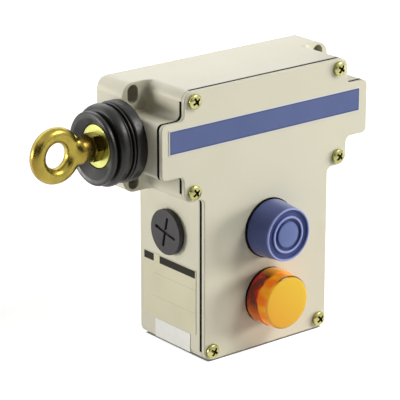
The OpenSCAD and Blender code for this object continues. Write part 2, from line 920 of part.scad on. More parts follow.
// Ring nut behind the cover, with four notches for its key
module ring_nut() {
  nut_d = neck_d + 7;
  difference() {
    tube(unit_nut_t, nut_d, neck_d + 2 * run_gap);
    for (a = [0 : 60 : 300]) rotate(a) translate([nut_d / 2, 0, unit_nut_t / 2]) {
      cube([3, 3.6, unit_nut_t + 1], center = true);
    }
  }
}

module reset_nut() {
  color("#3a3a3a") facing(reset_x, reset_z, cover_back + unit_nut_t) ring_nut();
}

// Flanged body with the stem's guide and the spring's seat
module reset_bezel() {
  flange_d = head_base_d - 2 * boot_side - 0.4;
  flange_t = bezel_y - push_head_y - push_head_t - reset_travel - 1.5;
  neck_len = -reset_web_y + bezel_y;
  color("#303234") facing(reset_x, reset_z, bezel_y) difference() {
    union() {
      cylinder(h = flange_t, d = flange_d);
      translate([0, 0, neck_len]) cylinder(h = -neck_len + eps, d = neck_d);
    }
    translate([0, 0, neck_len + reset_web_t]) cylinder(h = depth, d = neck_d - 3);
    translate([0, 0, neck_len - 1]) cylinder(h = depth, d = reset_stem_d + 2 * run_gap);
  }
}

// Moving push piece under the boot
skin = 1.2;
boot_side = 2.6;                                   // boot's wall at its base
push_head_t = 3;
push_head_y = reset_front_y + skin + 1.3;          // front face of the push piece
latch_foot_face = latch_foot_y - latch_bar;
nub_r = 2.5;
nub_y = latch_foot_face - free_gap - nub_r;        // middle of the stem's round end
module reset_button() {
  color("#50566a") {
    facing(reset_x, reset_z, push_head_y + push_head_t) {
      cylinder(h = push_head_t, d = head_base_d - 2 * boot_side - 2.8);
    }
    facing(reset_x, reset_z, nub_y - 1.5) {
      cylinder(h = -push_head_y + nub_y - 1.5 - eps, d = reset_stem_d);
    }
    facing(reset_x, reset_z, nub_y) {
      cylinder(h = 1.5 + eps, d = 2 * nub_r);
      sphere(r = nub_r);
    }
  }
}

module reset_spring() {
  left = reset_web_y - reset_web_t;
  color("#8b8f96") facing(reset_x, reset_z, left) {
    coil(reset_stem_d + 3.4, 1.1, left - push_head_y - push_head_t, 5);
  }
}

// Silicone boot over the button, with a rim, a ridge ring and a dome on its front
module reset_boot() {
  base_r = head_base_d / 2;
  front_r = base_r - 1.25;
  h = head_rise - base_gasket_t;
  color("#525c9c") facing(reset_x, reset_z, bezel_y) difference() {
    union() {
      cylinder(h = h - 1.2, r1 = base_r, r2 = front_r);
      translate([0, 0, h - 1.2 - eps]) cylinder(h = 0.5, r = front_r);
      translate([0, 0, h - 1.2]) tube(1.2, 2 * front_r, 2 * front_r - 2.2);
      translate([0, 0, h - 1.2]) tube(0.9, reset_ring_d, reset_ring_d - 2.4);
      translate([0, 0, h - 1.2]) cylinder(h = 0.6, d = reset_dome_d);
    }
    translate([0, 0, -1]) cylinder(h = h - skin - 0.2, r = base_r - boot_side);
  }
}

// --------------------------------------------------------------------------
// Pilot light

module pilot_gasket() {
  color("#232323") facing(pilot_x, pilot_z, -depth) base_gasket(head_base_d - 0.8);
}

pilot_flange_t = 1.8;
pilot_neck_l = 14;
module pilot_bezel() {
  color("#1f1f20") facing(pilot_x, pilot_z, bezel_y) difference() {
    union() {
      cylinder(h = pilot_flange_t, d = 2 * lens_r);
      translate([0, 0, -pilot_neck_l]) cylinder(h = pilot_neck_l + eps, d = neck_d);
    }
    translate([0, 0, -pilot_neck_l - 1]) cylinder(h = depth, d = neck_d - 4);
  }
}

module pilot_nut() {
  color("#3a3a3a") facing(pilot_x, pilot_z, cover_back + unit_nut_t) ring_nut();
}

lens_r = head_base_d / 2 - 0.7;                    // lens at its foot
lens_wall = 1.6;
lens_y = bezel_y - pilot_flange_t;                 // back edge of the lens
lens_h = head_rise - base_gasket_t - pilot_flange_t;

// Stepped amber lens, hollow behind
module pilot_lens() {
  front_r = lens_r - 0.7;
  bevel = 0.8;
  color("#eaa52c") facing(pilot_x, pilot_z, lens_y) difference() {
    union() {
      cylinder(h = lens_h * 0.42, r = lens_r);
      cylinder(h = lens_h - bevel, r = front_r);
      translate([0, 0, lens_h - bevel - eps]) {
        cylinder(h = bevel + eps, r1 = front_r, r2 = front_r - bevel);
      }
    }
    translate([0, 0, -1]) cylinder(h = lens_h - lens_wall + 1, r = front_r - lens_wall);
  }
}

// Lamp with a bayonet cap, from its seat in the holder up to the lens
bulb_d = 10;
cap_d = 9;
cap_l = 14;
lamp_seat = 8;                                     // cap's depth in the holder
holder_y = bezel_y + pilot_neck_l;                 // front face of the lamp holder
lamp_y = holder_y + lamp_seat;
module pilot_lamp() {
  tip_y = lens_y - lens_h + lens_wall + 1.5;
  length = lamp_y - tip_y;
  color("#f0ead8") facing(pilot_x, pilot_z, lamp_y) {
    cylinder(h = cap_l + 1, d = cap_d);
    translate([0, 0, cap_l]) cylinder(h = length - cap_l - bulb_d / 2, d = bulb_d);
    translate([0, 0, length - bulb_d / 2]) sphere(d = bulb_d);
    translate([0, 0, lamp_seat - 2]) rotate([0, 90, 0]) {
      cylinder(h = cap_d + 1.6, d = 1.8, center = true);
    }
  }
}

// Lamp holder on the neck of the pilot light
holder_w = 26;
holder_h = 24;
holder_t = 20;
holder_well = 5;                                   // depth of the terminals' wells
module lamp_holder() {
  color("#4a4c4e") difference() {
    union() {
      translate([pilot_x - holder_w / 2, holder_y, pilot_z - holder_h / 2]) {
        cube([holder_w, holder_t, holder_h]);
      }
      facing(pilot_x, pilot_z, holder_y + eps) {
        cylinder(h = cap_l - lamp_seat - 1, d = neck_d - 4 - 2 * run_gap);
      }
    }
    facing(pilot_x, pilot_z, lamp_y) {
      cylinder(h = depth, d = cap_d + 2 * run_gap);
      translate([0, 0, lamp_seat - 2]) rotate([0, 90, 0]) {
        cylinder(h = cap_d + 2, d = 2, center = true);
      }
      translate([-cap_d / 2 - 1, -1, lamp_seat - 2]) cube([cap_d + 2, 2, depth]);
    }
    for (s = [-1, 1]) {
      translate([pilot_x + s * holder_w / 2, holder_y + holder_t / 2, pilot_z]) {
        cube([2 * holder_well, 7, 12], center = true);
      }
    }
  }
}

module lamp_terminals() {
  color("#cfd2d4") for (s = [-1, 1]) {
    translate([pilot_x + s * (holder_w / 2 - holder_well), holder_y + holder_t / 2, pilot_z]) {
      rotate([0, s * 90, 0]) slotted_screw();
    }
  }
}

// --------------------------------------------------------------------------
// Blanking plugs

seal_t = 0.4;
plug_turn = 13;
module blanking_plug(side, turn) {
  from_side(side, sw + seal_t, -entry_y, -entry_drop) difference() {
    union() {
      cylinder(h = plug_head_t, d = plug_head_d);
      translate([0, 0, -seal_t - wall - entry_boss_t]) {
        tube(seal_t + wall + entry_boss_t + eps, entry_d - 0.1, entry_d - 5);
      }
    }
    for (a = [0, 90]) rotate(turn + a) translate([0, 0, plug_head_t]) {
      cube([16, 1.5, 2.8], center = true);
    }
  }
}

module blanking_plug_left() {
  color("#565356") blanking_plug(-1, plug_turn);
}

module blanking_plug_right() {
  color("#565356") blanking_plug(1, -plug_turn);
}

module plug_seal(side) {
  from_side(side, sw, -entry_y, -entry_drop) tube(seal_t, plug_head_d - 0.8, entry_d + 0.2);
}

module plug_seal_left() {
  color("#1f1f1f") plug_seal(-1);
}

module plug_seal_right() {
  color("#1f1f1f") plug_seal(1);
}

module earth_screw() {
  color("#c9b458") facing(earth_x, earth_z, -back_wall - earth_h) {
    cross_screw(screw_tap_d, 7.6, 2.6, earth_h - 1);
  }
}

// --------------------------------------------------------------------------
housing_body();
front_cover();
cover_gasket();
cover_screws();
front_label();
data_plate();
reference_sticker();
nose_bush();
tail_bush();
boot();
eyebolt();
lock_nut();
eye_washer();
pull_rod();
spring_collar();
main_spring();
switch_cam();
cam_pin();
contact_bracket();
bracket_screws();
contact_block_nc();
contact_block_no();
contact_terminals();
plunger_nc();
plunger_no();
latch_lever();
latch_pin();
latch_spring();
reset_gasket();
reset_bezel();
reset_nut();
reset_button();
reset_spring();
reset_boot();
pilot_gasket();
pilot_bezel();
pilot_nut();
pilot_lens();
pilot_lamp();
lamp_holder();
lamp_terminals();
blanking_plug_left();
blanking_plug_right();
plug_seal_left();
plug_seal_right();
earth_screw();
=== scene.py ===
# %% [markdown]
# # Dressing a rope pull switch
# A rope pull switch stops a machine when somebody pulls the rope tied to its eyebolt. The
# solids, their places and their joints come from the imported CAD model, so this lesson never
# measures by eye: it loads that model and dresses it. Good solids keep their own mesh and
# get soft edges and a finish. Turned, moulded and forged pieces that the eye lingers on are
# worked out again as smooth surfaces, each in the place of its solid.

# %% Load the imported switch
import json
import math

import bmesh
import bpy
import numpy as np
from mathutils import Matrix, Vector


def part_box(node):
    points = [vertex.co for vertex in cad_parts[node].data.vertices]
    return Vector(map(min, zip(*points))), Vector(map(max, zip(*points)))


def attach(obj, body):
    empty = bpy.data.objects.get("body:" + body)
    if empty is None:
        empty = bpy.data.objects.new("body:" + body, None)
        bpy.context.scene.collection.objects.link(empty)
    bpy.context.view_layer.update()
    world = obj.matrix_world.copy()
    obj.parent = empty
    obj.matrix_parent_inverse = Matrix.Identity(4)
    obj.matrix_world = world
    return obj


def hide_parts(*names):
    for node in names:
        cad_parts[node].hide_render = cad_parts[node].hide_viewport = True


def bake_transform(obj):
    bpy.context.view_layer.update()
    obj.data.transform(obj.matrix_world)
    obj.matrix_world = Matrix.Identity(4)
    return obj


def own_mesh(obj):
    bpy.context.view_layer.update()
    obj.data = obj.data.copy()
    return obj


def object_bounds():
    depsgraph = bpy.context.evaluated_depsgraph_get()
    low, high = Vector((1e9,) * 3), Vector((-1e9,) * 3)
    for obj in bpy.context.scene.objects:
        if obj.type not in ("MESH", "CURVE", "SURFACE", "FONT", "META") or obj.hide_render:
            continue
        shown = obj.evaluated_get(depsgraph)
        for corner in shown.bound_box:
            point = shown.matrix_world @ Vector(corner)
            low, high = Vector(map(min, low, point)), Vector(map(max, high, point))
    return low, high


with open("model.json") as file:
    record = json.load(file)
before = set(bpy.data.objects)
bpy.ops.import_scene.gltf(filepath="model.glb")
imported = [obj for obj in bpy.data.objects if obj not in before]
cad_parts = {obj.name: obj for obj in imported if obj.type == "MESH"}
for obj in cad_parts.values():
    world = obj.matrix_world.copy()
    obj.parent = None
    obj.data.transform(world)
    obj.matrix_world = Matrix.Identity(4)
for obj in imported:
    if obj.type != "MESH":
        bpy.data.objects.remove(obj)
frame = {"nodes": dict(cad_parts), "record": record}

cad_low, cad_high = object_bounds()
nodes, record = frame["nodes"], frame["record"]
slot_of = {part["node"]: part["material_slot"] for part in record["subparts"]}
body_of = {node: body for body, members in record["behaviour"]["bodies"].items() for node in members}
scene = bpy.context.scene
scene.view_settings.view_transform = "Standard"
print("solids:", len(nodes), " box in mm:", [round(1000 * (b - a), 1) for a, b in zip(cad_low, cad_high)])

# %% [markdown]
# The camera comes first, because it decides how much detail each piece deserves. A long
# lens far away gives the calm perspective of a catalogue picture: the switch is seen from
# its rope end, a little from above.

# %% Camera
EYE = Vector((-0.7062, -0.8741, 0.3322))
AIM = Vector((-0.02282, -0.0265, -0.03865))
camera = bpy.data.objects.new("camera", bpy.data.cameras.new("camera"))
scene.collection.objects.link(camera)
camera.location = EYE
camera.rotation_euler = (AIM - EYE).to_track_quat("-Z", "Y").to_euler()
camera.data.lens, camera.data.sensor_width = 206.3, 36
scene.camera = camera
print("camera distance:", round((AIM - EYE).length, 3), "m")

# %% [markdown]
# ## The studio
# The light is soft: one large lamp high on the right front, one low on the right, one low
# behind on the left, and two glowing strips of wall above and beside the switch, as a lit
# paper gives. A big lamp gives soft shadow edges, as a cloth box does in a studio. The world
# adds only a little, so pockets and slots stay dark. The world and the floor look white to
# the camera and in reflections, whatever the lamps do, so the lamps stay at a plain level
# and the enamel keeps the colour that is written for it. Only where the switch stands does
# the floor darken, within about a millimetre, as a real contact shadow does.

# %% World and floor
WHITE = (1, 1, 1, 1)


def shown(tree, plain, bright, end):
    """Shader bright for rays that look straight, in a reflection or through glass, and plain for all others. The
    share is the largest of the three kinds' flags."""
    path = tree.nodes.new("ShaderNodeLightPath")
    value = path.outputs["Is Camera Ray"]
    for kind in ("Is Glossy Ray", "Is Transmission Ray"):
        most = tree.nodes.new("ShaderNodeMath")
        most.operation = "MAXIMUM"
        tree.links.new(value, most.inputs[0])
        tree.links.new(path.outputs[kind], most.inputs[1])
        value = most.outputs[0]
    either = tree.nodes.new("ShaderNodeMixShader")
    for i, source in enumerate((value, plain, bright)):
        tree.links.new(source, either.inputs[i])
    tree.links.new(either.outputs[0], tree.nodes[end].inputs["Surface"])


WORLD_LIGHT = 0.08
PAPER = (1.0, 0.985, 0.95)
world = bpy.data.worlds.new("studio")
world.use_nodes = True
scene.world = world
tree = world.node_tree
dim = tree.nodes["Background"]
dim.inputs["Color"].default_value = (*PAPER, 1)
dim.inputs["Strength"].default_value = WORLD_LIGHT
white = tree.nodes.new("ShaderNodeBackground")
white.inputs["Color"].default_value = WHITE
shown(tree, dim.outputs[0], white.outputs[0], "World Output")

REACH, GAP = 6.0, 0.0004
CONTACT = 0.0013
corners = ((-REACH, -REACH), (REACH, -REACH), (REACH, REACH), (-REACH, REACH))
floor_mesh = bpy.data.meshes.new("floor")
floor_mesh.from_pydata([(x, y, cad_low.z - GAP) for x, y in corners], [], [(0, 1, 2, 3)])
floor = bpy.data.objects.new("floor", floor_mesh)
scene.collection.objects.link(floor)
paper = bpy.data.materials.new("floor_paper")
paper.use_nodes = True
tree = paper.node_tree
matt = tree.nodes.new("ShaderNodeBsdfDiffuse")
glow = tree.nodes.new("ShaderNodeEmission")
glow.inputs["Color"].default_value = WHITE
crevice = tree.nodes.new("ShaderNodeAmbientOcclusion")
crevice.samples = 8
crevice.inputs["Distance"].default_value = CONTACT
shade = tree.nodes.new("ShaderNodeMapRange")
for key, value in {"From Min": 0.5, "From Max": 0.9, "To Min": 0.10, "To Max": 0.8}.items():
    shade.inputs[key].default_value = value
tree.links.new(crevice.outputs["AO"], shade.inputs["Value"])
tree.links.new(shade.outputs[0], glow.inputs["Strength"])
tree.links.new(shade.outputs[0], matt.inputs["Color"])
both = tree.nodes.new("ShaderNodeAddShader")
tree.links.new(matt.outputs[0], both.inputs[0])
tree.links.new(glow.outputs[0], both.inputs[1])
shown(tree, matt.outputs[0], both.outputs[0], "Material Output")
floor_mesh.materials.append(paper)

# %% [markdown]
# Glossy metal shows what stands round it. In a white room it would look flat, so three dark
# cards that only reflections see give the gold eyebolt its dark streaks. The low lamp is
# left out of reflections, because a lamp's mirror image would blot out the blue strip for
# somebody who looks along the cover.

# %% Lamps and dark cards


def aimed(thing, place, at):
    """Puts an object at a place and turns its -Z axis to a point."""
    thing.location = place
    thing.rotation_euler = (Vector(at) - Vector(place)).to_track_quat("-Z", "Y").to_euler()
    scene.collection.objects.link(thing)


def lamp(name, place, size, watts, at=AIM):
    """A soft lamp, size wide and high in metres, that points at the middle of the switch or at another place."""
    light = bpy.data.lights.new(name, "AREA")
    light.shape, light.energy, light.color = "RECTANGLE", watts, PAPER
    light.size, light.size_y = size
    shade = bpy.data.objects.new(name, light)
    shade.visible_camera = False
    aimed(shade, place, at)


lamp("key_lamp", (0.95, -1.15, 1.35), (0.8, 0.8), 23.6)
lamp("low_lamp", (1.8, -0.9, 0.0), (0.8, 0.8), 45.5)
bpy.data.objects["low_lamp"].visible_glossy = False
lamp("left_lamp", (-1.5, 0.9, -0.05), (0.6, 0.6), 26.0)
lamp("wall_above", (-0.02, 0.07, 0.10), (0.34, 0.10), 0.17, (-0.02, 0.0, 0.10))
lamp("wall_beside", (-0.19, 0.07, -0.03), (0.10, 0.22), 0.10, (-0.19, 0.0, -0.03))


def dark_card(name, place, width, height):
    """A dark board that only reflections see, so that metal gets its dark streaks."""
    mesh = bpy.data.meshes.new(name)
    w, h = width / 2, height / 2
    mesh.from_pydata([(-w, -h, 0), (w, -h, 0), (w, h, 0), (-w, h, 0)], [], [(0, 1, 2, 3)])
    card = bpy.data.objects.new(name, mesh)
    board = bpy.data.materials.new(name)
    board.use_nodes = True
    board.node_tree.nodes["Principled BSDF"].inputs["Base Color"].default_value = (0.02, 0.018, 0.015, 1)
    mesh.materials.append(board)
    aimed(card, place, AIM)
    card.visible_camera = card.visible_diffuse = card.visible_shadow = card.visible_transmission = False


dark_card("dark_card_left", (-2.4, -0.25, 0.5), 1.9, 2.4)
dark_card("dark_card_front", (-0.4, -2.6, -0.1), 1.6, 1.0)
dark_card("dark_card_near", (-1.35, -1.75, 0.65), 1.7, 1.9)

# %% [markdown]
# ## Tools for surfaces
# Three tools make almost every new piece: `turned`, `shaped` and `coiled`. Each returns
# points and faces, and `piece` puts them into a mesh, closes the seams and turns every face
# outwards.

# %% From numbers to a mesh
MM = 0.001


def piece(name, points, faces, smooth=40, fill=False):
    """A new object at the origin: points in millimetres become metres, doubles merge, faces turn outwards.
    Edges that turn by more than smooth degrees stay crisp. With fill, open ends get a cap."""
    mesh = bpy.data.meshes.new(name)
    mesh.from_pydata(np.asarray(points, float) * MM, [], np.asarray(faces).tolist())
    work = bmesh.new()
    work.from_mesh(mesh)
    bmesh.ops.remove_doubles(work, verts=work.verts, dist=2e-7)
    bmesh.ops.dissolve_degenerate(work, edges=work.edges, dist=1e-8)
    if fill:
        bmesh.ops.holes_fill(work, edges=work.edges)
    bmesh.ops.recalc_face_normals(work, faces=work.faces)
    work.to_mesh(mesh)
    work.free()
    mesh.shade_smooth()
    mesh.set_sharp_from_angle(angle=math.radians(smooth))
    made = bpy.data.objects.new(name, mesh)
    scene.collection.objects.link(made)
    return made


def join(*parts):
    """Several (points, faces) pairs as one pair: each part's face numbers go up by the points before it."""
    points, faces, before = [], [], 0
    for p, f in parts:
        points.append(np.asarray(p, float))
        faces += (np.asarray(f) + before).tolist()
        before += len(p)
    return np.concatenate(points), faces


# %% [markdown]
# `turned` spins a profile round an axis, as a lathe does. `eased` rounds the profile's
# corners first.

# %% Profiles and turning


def eased(corners, steps=6):
    """A closed profile of (u, r, radius) corners. A corner's arc touches both its sides: it starts
    radius / tan(half the corner's angle) away from the corner and turns about the point on its bisector."""
    c = np.array([k[:2] for k in corners], float)
    out = []
    for i, k in enumerate(corners):
        radius = k[2] if len(k) > 2 else 0
        a, b = c[i - 1] - c[i], c[(i + 1) % len(c)] - c[i]
        la, lb = np.linalg.norm(a), np.linalg.norm(b)
        a, b = a / la, b / lb
        half = math.acos(np.clip(a @ b, -1, 1)) / 2
        if radius <= 0 or half > 1.5:
            out.append(c[i][None])
            continue
        back = min(radius / math.tan(half), 0.499 * la, 0.499 * lb)
        radius = back * math.tan(half)
        mid = c[i] + (a + b) / np.linalg.norm(a + b) * radius / math.sin(half)
        s, e = c[i] + a * back - mid, c[i] + b * back - mid
        turn = math.acos(np.clip(s @ e / radius**2, -1, 1))
        t = np.linspace(0, 1, steps + 1)[:, None]
        out.append(mid + (np.sin((1 - t) * turn) * s + np.sin(t * turn) * e) / math.sin(turn))
    return np.concatenate(out)


def grid_faces(rows, columns, wrap_rows=True):
    """Quads between neighbours on a grid whose columns close up, and whose rows do too if they wrap."""
    i = np.arange(rows if wrap_rows else rows - 1)[:, None]
    j = np.arange(columns)[None]
    k, m = (i + 1) % rows, (j + 1) % columns
    return np.stack([i * columns + j, i * columns + m, k * columns + m, k * columns + j], -1).reshape(-1, 4)


def turned(profile, origin, along, steps=192):
    """Profile point (u, r) and angle a give the point: origin + u times the axis + r cos a times one
    cross direction + r sin a times the other."""
    profile = np.asarray(profile, float)
    axis = np.array(along, float)
    side = np.array((0.0, 0.0, 1.0)) if abs(axis[2]) < 0.5 else np.array((1.0, 0.0, 0.0))
    other = np.cross(axis, side)
    a = np.linspace(0, 2 * np.pi, steps, endpoint=False)[None, :, None]
    u, r = profile[:, None, None, 0], profile[:, None, None, 1]
    points = np.array(origin, float) + u * axis + r * (np.cos(a) * side + np.sin(a) * other)
    return points.reshape(-1, 3), grid_faces(len(profile), steps)


# %% [markdown]
# `shaped` takes a distance function, which is negative inside the piece, and walks a grid to
# find where it is zero. Forgings and screw heads blend their parts that way without any
# cutting.

# %% Distance functions
PROBE = 0.01


def soft_or(a, b, k):
    """Union of two distances with a fillet of about k: the smaller one, lowered where the two are close."""
    h = np.clip(0.5 + 0.5 * (b - a) / k, 0, 1)
    return b * (1 - h) + a * h - k * h * (1 - h)


def soft_and(a, b, k):
    """Common part of two distances with its edge rounded by about k."""
    return -soft_or(-a, -b, k)


def shaped(distance, low, high, cell):
    """Surface nets: each grid cell that the surface crosses gets one point, the mean of the crossings on its
    edges, and each crossed grid edge gets the quad of its four cells. Then the points step along the
    distance's slope until it is zero."""
    axes = [np.arange(a, b + cell, cell) for a, b in zip(low, high)]
    grid = np.meshgrid(*axes, indexing="ij")
    d = distance(*grid)
    inside = d < 0
    shape = np.array(d.shape) - 1
    total, count = np.zeros((*shape, 3)), np.zeros(shape)
    quads = []
    for a in range(3):
        b, c = (a + 1) % 3, (a + 2) % 3
        d0, d1 = np.moveaxis(d, a, 0)[:-1], np.moveaxis(d, a, 0)[1:]
        d0, d1 = np.moveaxis(d0, 0, a), np.moveaxis(d1, 0, a)
        crossed = (d0 < 0) != (d1 < 0)
        at = np.argwhere(crossed)
        share = d0[crossed] / (d0[crossed] - d1[crossed])
        spot = at.astype(float)
        spot[:, a] += share
        ring = []
        for db, dc in ((-1, -1), (0, -1), (0, 0), (-1, 0)):
            near = at.copy()
            near[:, b] += db
            near[:, c] += dc
            np.add.at(total, tuple(near.T), spot)
            np.add.at(count, tuple(near.T), 1)
            ring.append(np.ravel_multi_index(tuple(near.T), shape))
        ring = np.stack(ring, 1)
        quads.append(np.where(inside[tuple(at.T)][:, None], ring, ring[:, ::-1]))
    quads = np.concatenate(quads)
    used, faces = np.unique(quads, return_inverse=True)
    points = total.reshape(-1, 3)[used] / count.ravel()[used][:, None] * cell + np.array(low)
    for _ in range(4):
        value = distance(*points.T)
        rises = [distance(*(points + h).T) - distance(*(points - h).T) for h in np.eye(3) * PROBE]
        slope = np.stack(rises, 1) / (2 * PROBE)
        size = np.maximum((slope**2).sum(1), 0.05)
        points = points - np.clip(value / size, -cell / 2, cell / 2)[:, None] * slope
    return points, faces.reshape(-1, 4)


# %% [markdown]
# `coiled` carries a round wire along a spring's winding.

# %% Wire springs


def coiled(mean_r, wire, length, turns, start, along, steps=36, sides=12):
    """At winding angle t the wire's middle is mean_r from the axis and has risen by an even pitch, except in
    the first and last turn, which lie flat on the ends. Round it goes a circle of the wire's radius."""
    axis = np.array(along, float)
    side = np.array((0.0, 0.0, 1.0))
    other = np.cross(axis, side)
    t = np.linspace(0, turns, int(turns * steps) + 1)
    dead = wire * 1.02
    first, last = wire / 2, length - wire / 2
    rise = np.interp(t, [0, 1, turns - 1, turns], [first, first + dead, last - dead, last])
    a, b = 2 * np.pi * t[:, None, None], np.linspace(0, 2 * np.pi, sides, endpoint=False)[None, :, None]
    out = np.cos(a) * side + np.sin(a) * other
    middle = np.array(start, float) + rise[:, None, None] * axis + mean_r * out
    points = middle + wire / 2 * (np.cos(b) * out + np.sin(b) * axis)
    return points.reshape(-1, 3), grid_faces(len(t), sides, wrap_rows=False)


# %% [markdown]
# ## Finishes
# A finish is a small node tree on the Principled shader. The patterns read object
# coordinates, which are metres in the switch's own frame, so a grain of half a millimetre
# is a noise of scale 2000 everywhere. Colour, roughness and relief each get their own
# noise, because a real surface varies in all three. What is the same all over is set
# straight on the shader's socket.

# %% Helpers for finishes
FINISHES = {}


class Finish:
    """One node tree: a shader, object coordinates, and short names for the few nodes the finishes use."""

    def __init__(self, name, colour, rough, **sockets):
        self.material = bpy.data.materials.new(name)
        self.material.use_nodes = True
        self.tree = self.material.node_tree
        self.shader = self.tree.nodes["Principled BSDF"]
        self.shader.inputs["Base Color"].default_value = (*colour, 1)
        self.shader.inputs["Roughness"].default_value = rough
        for key, value in sockets.items():
            self.shader.inputs[key.replace("_", " ")].default_value = value
        self.place = self.tree.nodes.new("ShaderNodeTexCoord").outputs["Object"]
        FINISHES[name] = self.material

    def put(self, node_input, value):
        """Sets a socket to a number or colour, or links an output to it."""
        if isinstance(value, bpy.types.NodeSocket):
            self.tree.links.new(value, node_input)
        else:
            node_input.default_value = value

    def maths(self, kind, a, b=0.0):
        """One sum of two values."""
        node = self.tree.nodes.new("ShaderNodeMath")
        node.operation = kind
        self.put(node.inputs[0], a)
        self.put(node.inputs[1], b)
        return node.outputs[0]

    def axis(self, letter):
        """The object coordinate along X, Y or Z, in metres."""
        node = self.tree.nodes.new("ShaderNodeSeparateXYZ")
        self.tree.links.new(self.place, node.inputs[0])
        return node.outputs[letter]

    def away(self, middle):
        """How far a point lies from the line through middle along Y: the root of both squares' sum."""
        across = self.maths("SUBTRACT", self.axis("X"), middle.x), self.maths("SUBTRACT", self.axis("Z"), middle.z)
        return self.maths("SQRT", self.maths("ADD", *[self.maths("POWER", a, 2.0) for a in across]))

    def noise(self, per_metre, detail=3.0, stretch=(1, 1, 1)):
        """Noise from 0 to 1 with so many bumps to a metre, stretched along an axis where that is below 1."""
        node = self.tree.nodes.new("ShaderNodeTexNoise")
        node.inputs["Scale"].default_value = per_metre
        node.inputs["Detail"].default_value = detail
        place = self.place
        if stretch != (1, 1, 1):
            scale = self.tree.nodes.new("ShaderNodeMapping")
            scale.inputs["Scale"].default_value = stretch
            self.tree.links.new(place, scale.inputs["Vector"])
            place = scale.outputs[0]
        self.tree.links.new(place, node.inputs["Vector"])
        return node.outputs["Fac"]

    def span(self, value, a, b, to_a=0.0, to_b=1.0):
        """A value from a to b becomes one from to_a to to_b, and stays within them."""
        node = self.tree.nodes.new("ShaderNodeMapRange")
        for key, number in {"From Min": a, "From Max": b, "To Min": to_a, "To Max": to_b}.items():
            node.inputs[key].default_value = number
        self.put(node.inputs["Value"], value)
        return node.outputs["Result"]

    def inside(self, value, low, high, soft):
        """1 where the value lies between low and high, fading over soft on either side."""
        up = self.span(value, low - soft, low + soft)
        down = self.span(value, high - soft, high + soft, 1.0, 0.0)
        return self.maths("MULTIPLY", up, down)

    def mix(self, share, a, b):
        """Colour a where share is 0, and b where it is 1."""
        node = self.tree.nodes.new("ShaderNodeMix")
        node.data_type = "RGBA"
        self.put(node.inputs[0], share)
        for i, c in ((6, a), (7, b)):
            self.put(node.inputs[i], c if isinstance(c, bpy.types.NodeSocket) else (*c, 1))
        return node.outputs[2]

    def colour(self, value):
        """The base colour, as a colour or an output."""
        self.put(self.shader.inputs["Base Color"], value)

    def rough(self, value, low, high):
        """Roughness that runs from low to high with the middle half of a noise."""
        self.put(self.shader.inputs["Roughness"], self.span(value, 0.3, 0.7, low, high))

    def relief(self, *layers, soft=0.0):
        """Bumps: the sum of noises, each times its height in metres. With soft, the shader also rounds every
        edge by that radius, which costs no faces."""
        height = 0.0
        for value, metres in layers:
            height = self.maths("ADD", self.maths("MULTIPLY", value, metres), height)
        node = self.tree.nodes.new("ShaderNodeBump")
        for key in ("Strength", "Distance"):
            node.inputs[key].default_value = 1.0
        self.tree.links.new(height, node.inputs["Height"])
        if soft:
            rounded = self.tree.nodes.new("ShaderNodeBevel")
            rounded.inputs["Radius"].default_value = soft
            self.tree.links.new(rounded.outputs[0], node.inputs["Normal"])
        self.tree.links.new(node.outputs[0], self.shader.inputs["Normal"])


# %% [markdown]
# The casting wears a stove enamel: light beige, satin, with the slight orange peel of a
# sprayed coat and a broad, barely visible drift of tone. The cover comes from another
# batch, a shade lighter, so it has its own finish. The walls of the four fixing slots are
# painted darker, within so far of each slot's middle line: painted shade.

# %% Enamel
SLOT_X, SLOT_Z, SLOT_R, SLOT_HALF = 0.060, 0.022, 0.0031, 0.0015
EDGE_R = 0.0005


def enamel(name, light, deep, slot_shade=None):
    """Two tones that drift, and fine specks of a third. An extra colour paints the slot walls darker: painted
    shade. A slot's wall is where the distance from the slot's middle line is its radius: a stretch SLOT_HALF
    long either way, at four mirrored places."""
    f = Finish(name, light, 0.42, Specular_IOR_Level=0.45, Coat_Weight=0.12, Coat_Roughness=0.25)
    drift, speck = f.noise(22, 2), f.noise(2600, 2)
    tone = f.mix(f.span(drift, 0.35, 0.65), light, deep)
    tone = f.mix(f.span(speck, 0.55, 0.8, 0.0, 0.10), tone, tuple(0.8 * c for c in deep))
    if slot_shade:
        across = f.maths("SUBTRACT", f.maths("ABSOLUTE", f.axis("X")), SLOT_X)
        along = f.maths("ABSOLUTE", f.maths("SUBTRACT", f.maths("ABSOLUTE", f.axis("Z")), SLOT_Z))
        along = f.maths("MAXIMUM", f.maths("SUBTRACT", along, SLOT_HALF), 0.0)
        squares = f.maths("MULTIPLY", across, across), f.maths("MULTIPLY", along, along)
        away = f.maths("SQRT", f.maths("ADD", *squares))
        # Painted shade: the walls of the four fixing slots get the darker colour.
        tone = f.mix(f.span(away, SLOT_R + 0.00005, SLOT_R + 0.0003), slot_shade, tone)
    f.colour(tone)
    f.rough(f.noise(900, 3), 0.36, 0.50)
    f.relief((f.noise(750, 2), 0.000022), (f.noise(90, 1), 0.00006), soft=EDGE_R)


# Painted shade: the casting's last colour is the darker one painted on the slot walls.
enamel("casting_paint", (0.700, 0.675, 0.540), (0.660, 0.640, 0.505), slot_shade=(0.42, 0.40, 0.32))
enamel("cover_paint", (0.715, 0.695, 0.560), (0.690, 0.665, 0.530))

# %% [markdown]
# The metal parts on the rope's side are steel with a yellow passivated zinc coat. Its
# colour isn't one gold: it drifts from straw to olive and a little pink, as the film's
# thickness changes. On top of the collar and the nut, and at the ring's far end, it is painted
# dark brown: painted shade that stands in for dark reflections. The inner parts are plainer:
# turned steel, drawn wire, zinc sheet and sintered bronze, each with its own grain direction.

# %% Metals
RING_SPAN = 0.0235
collar_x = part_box("eyebolt")[0].x + RING_SPAN
SHANK_X = -0.074
# The dark colour painted into the screws' cross recesses: painted shade.
RECESS_SHADE_COLOUR = (0.035, 0.032, 0.012)


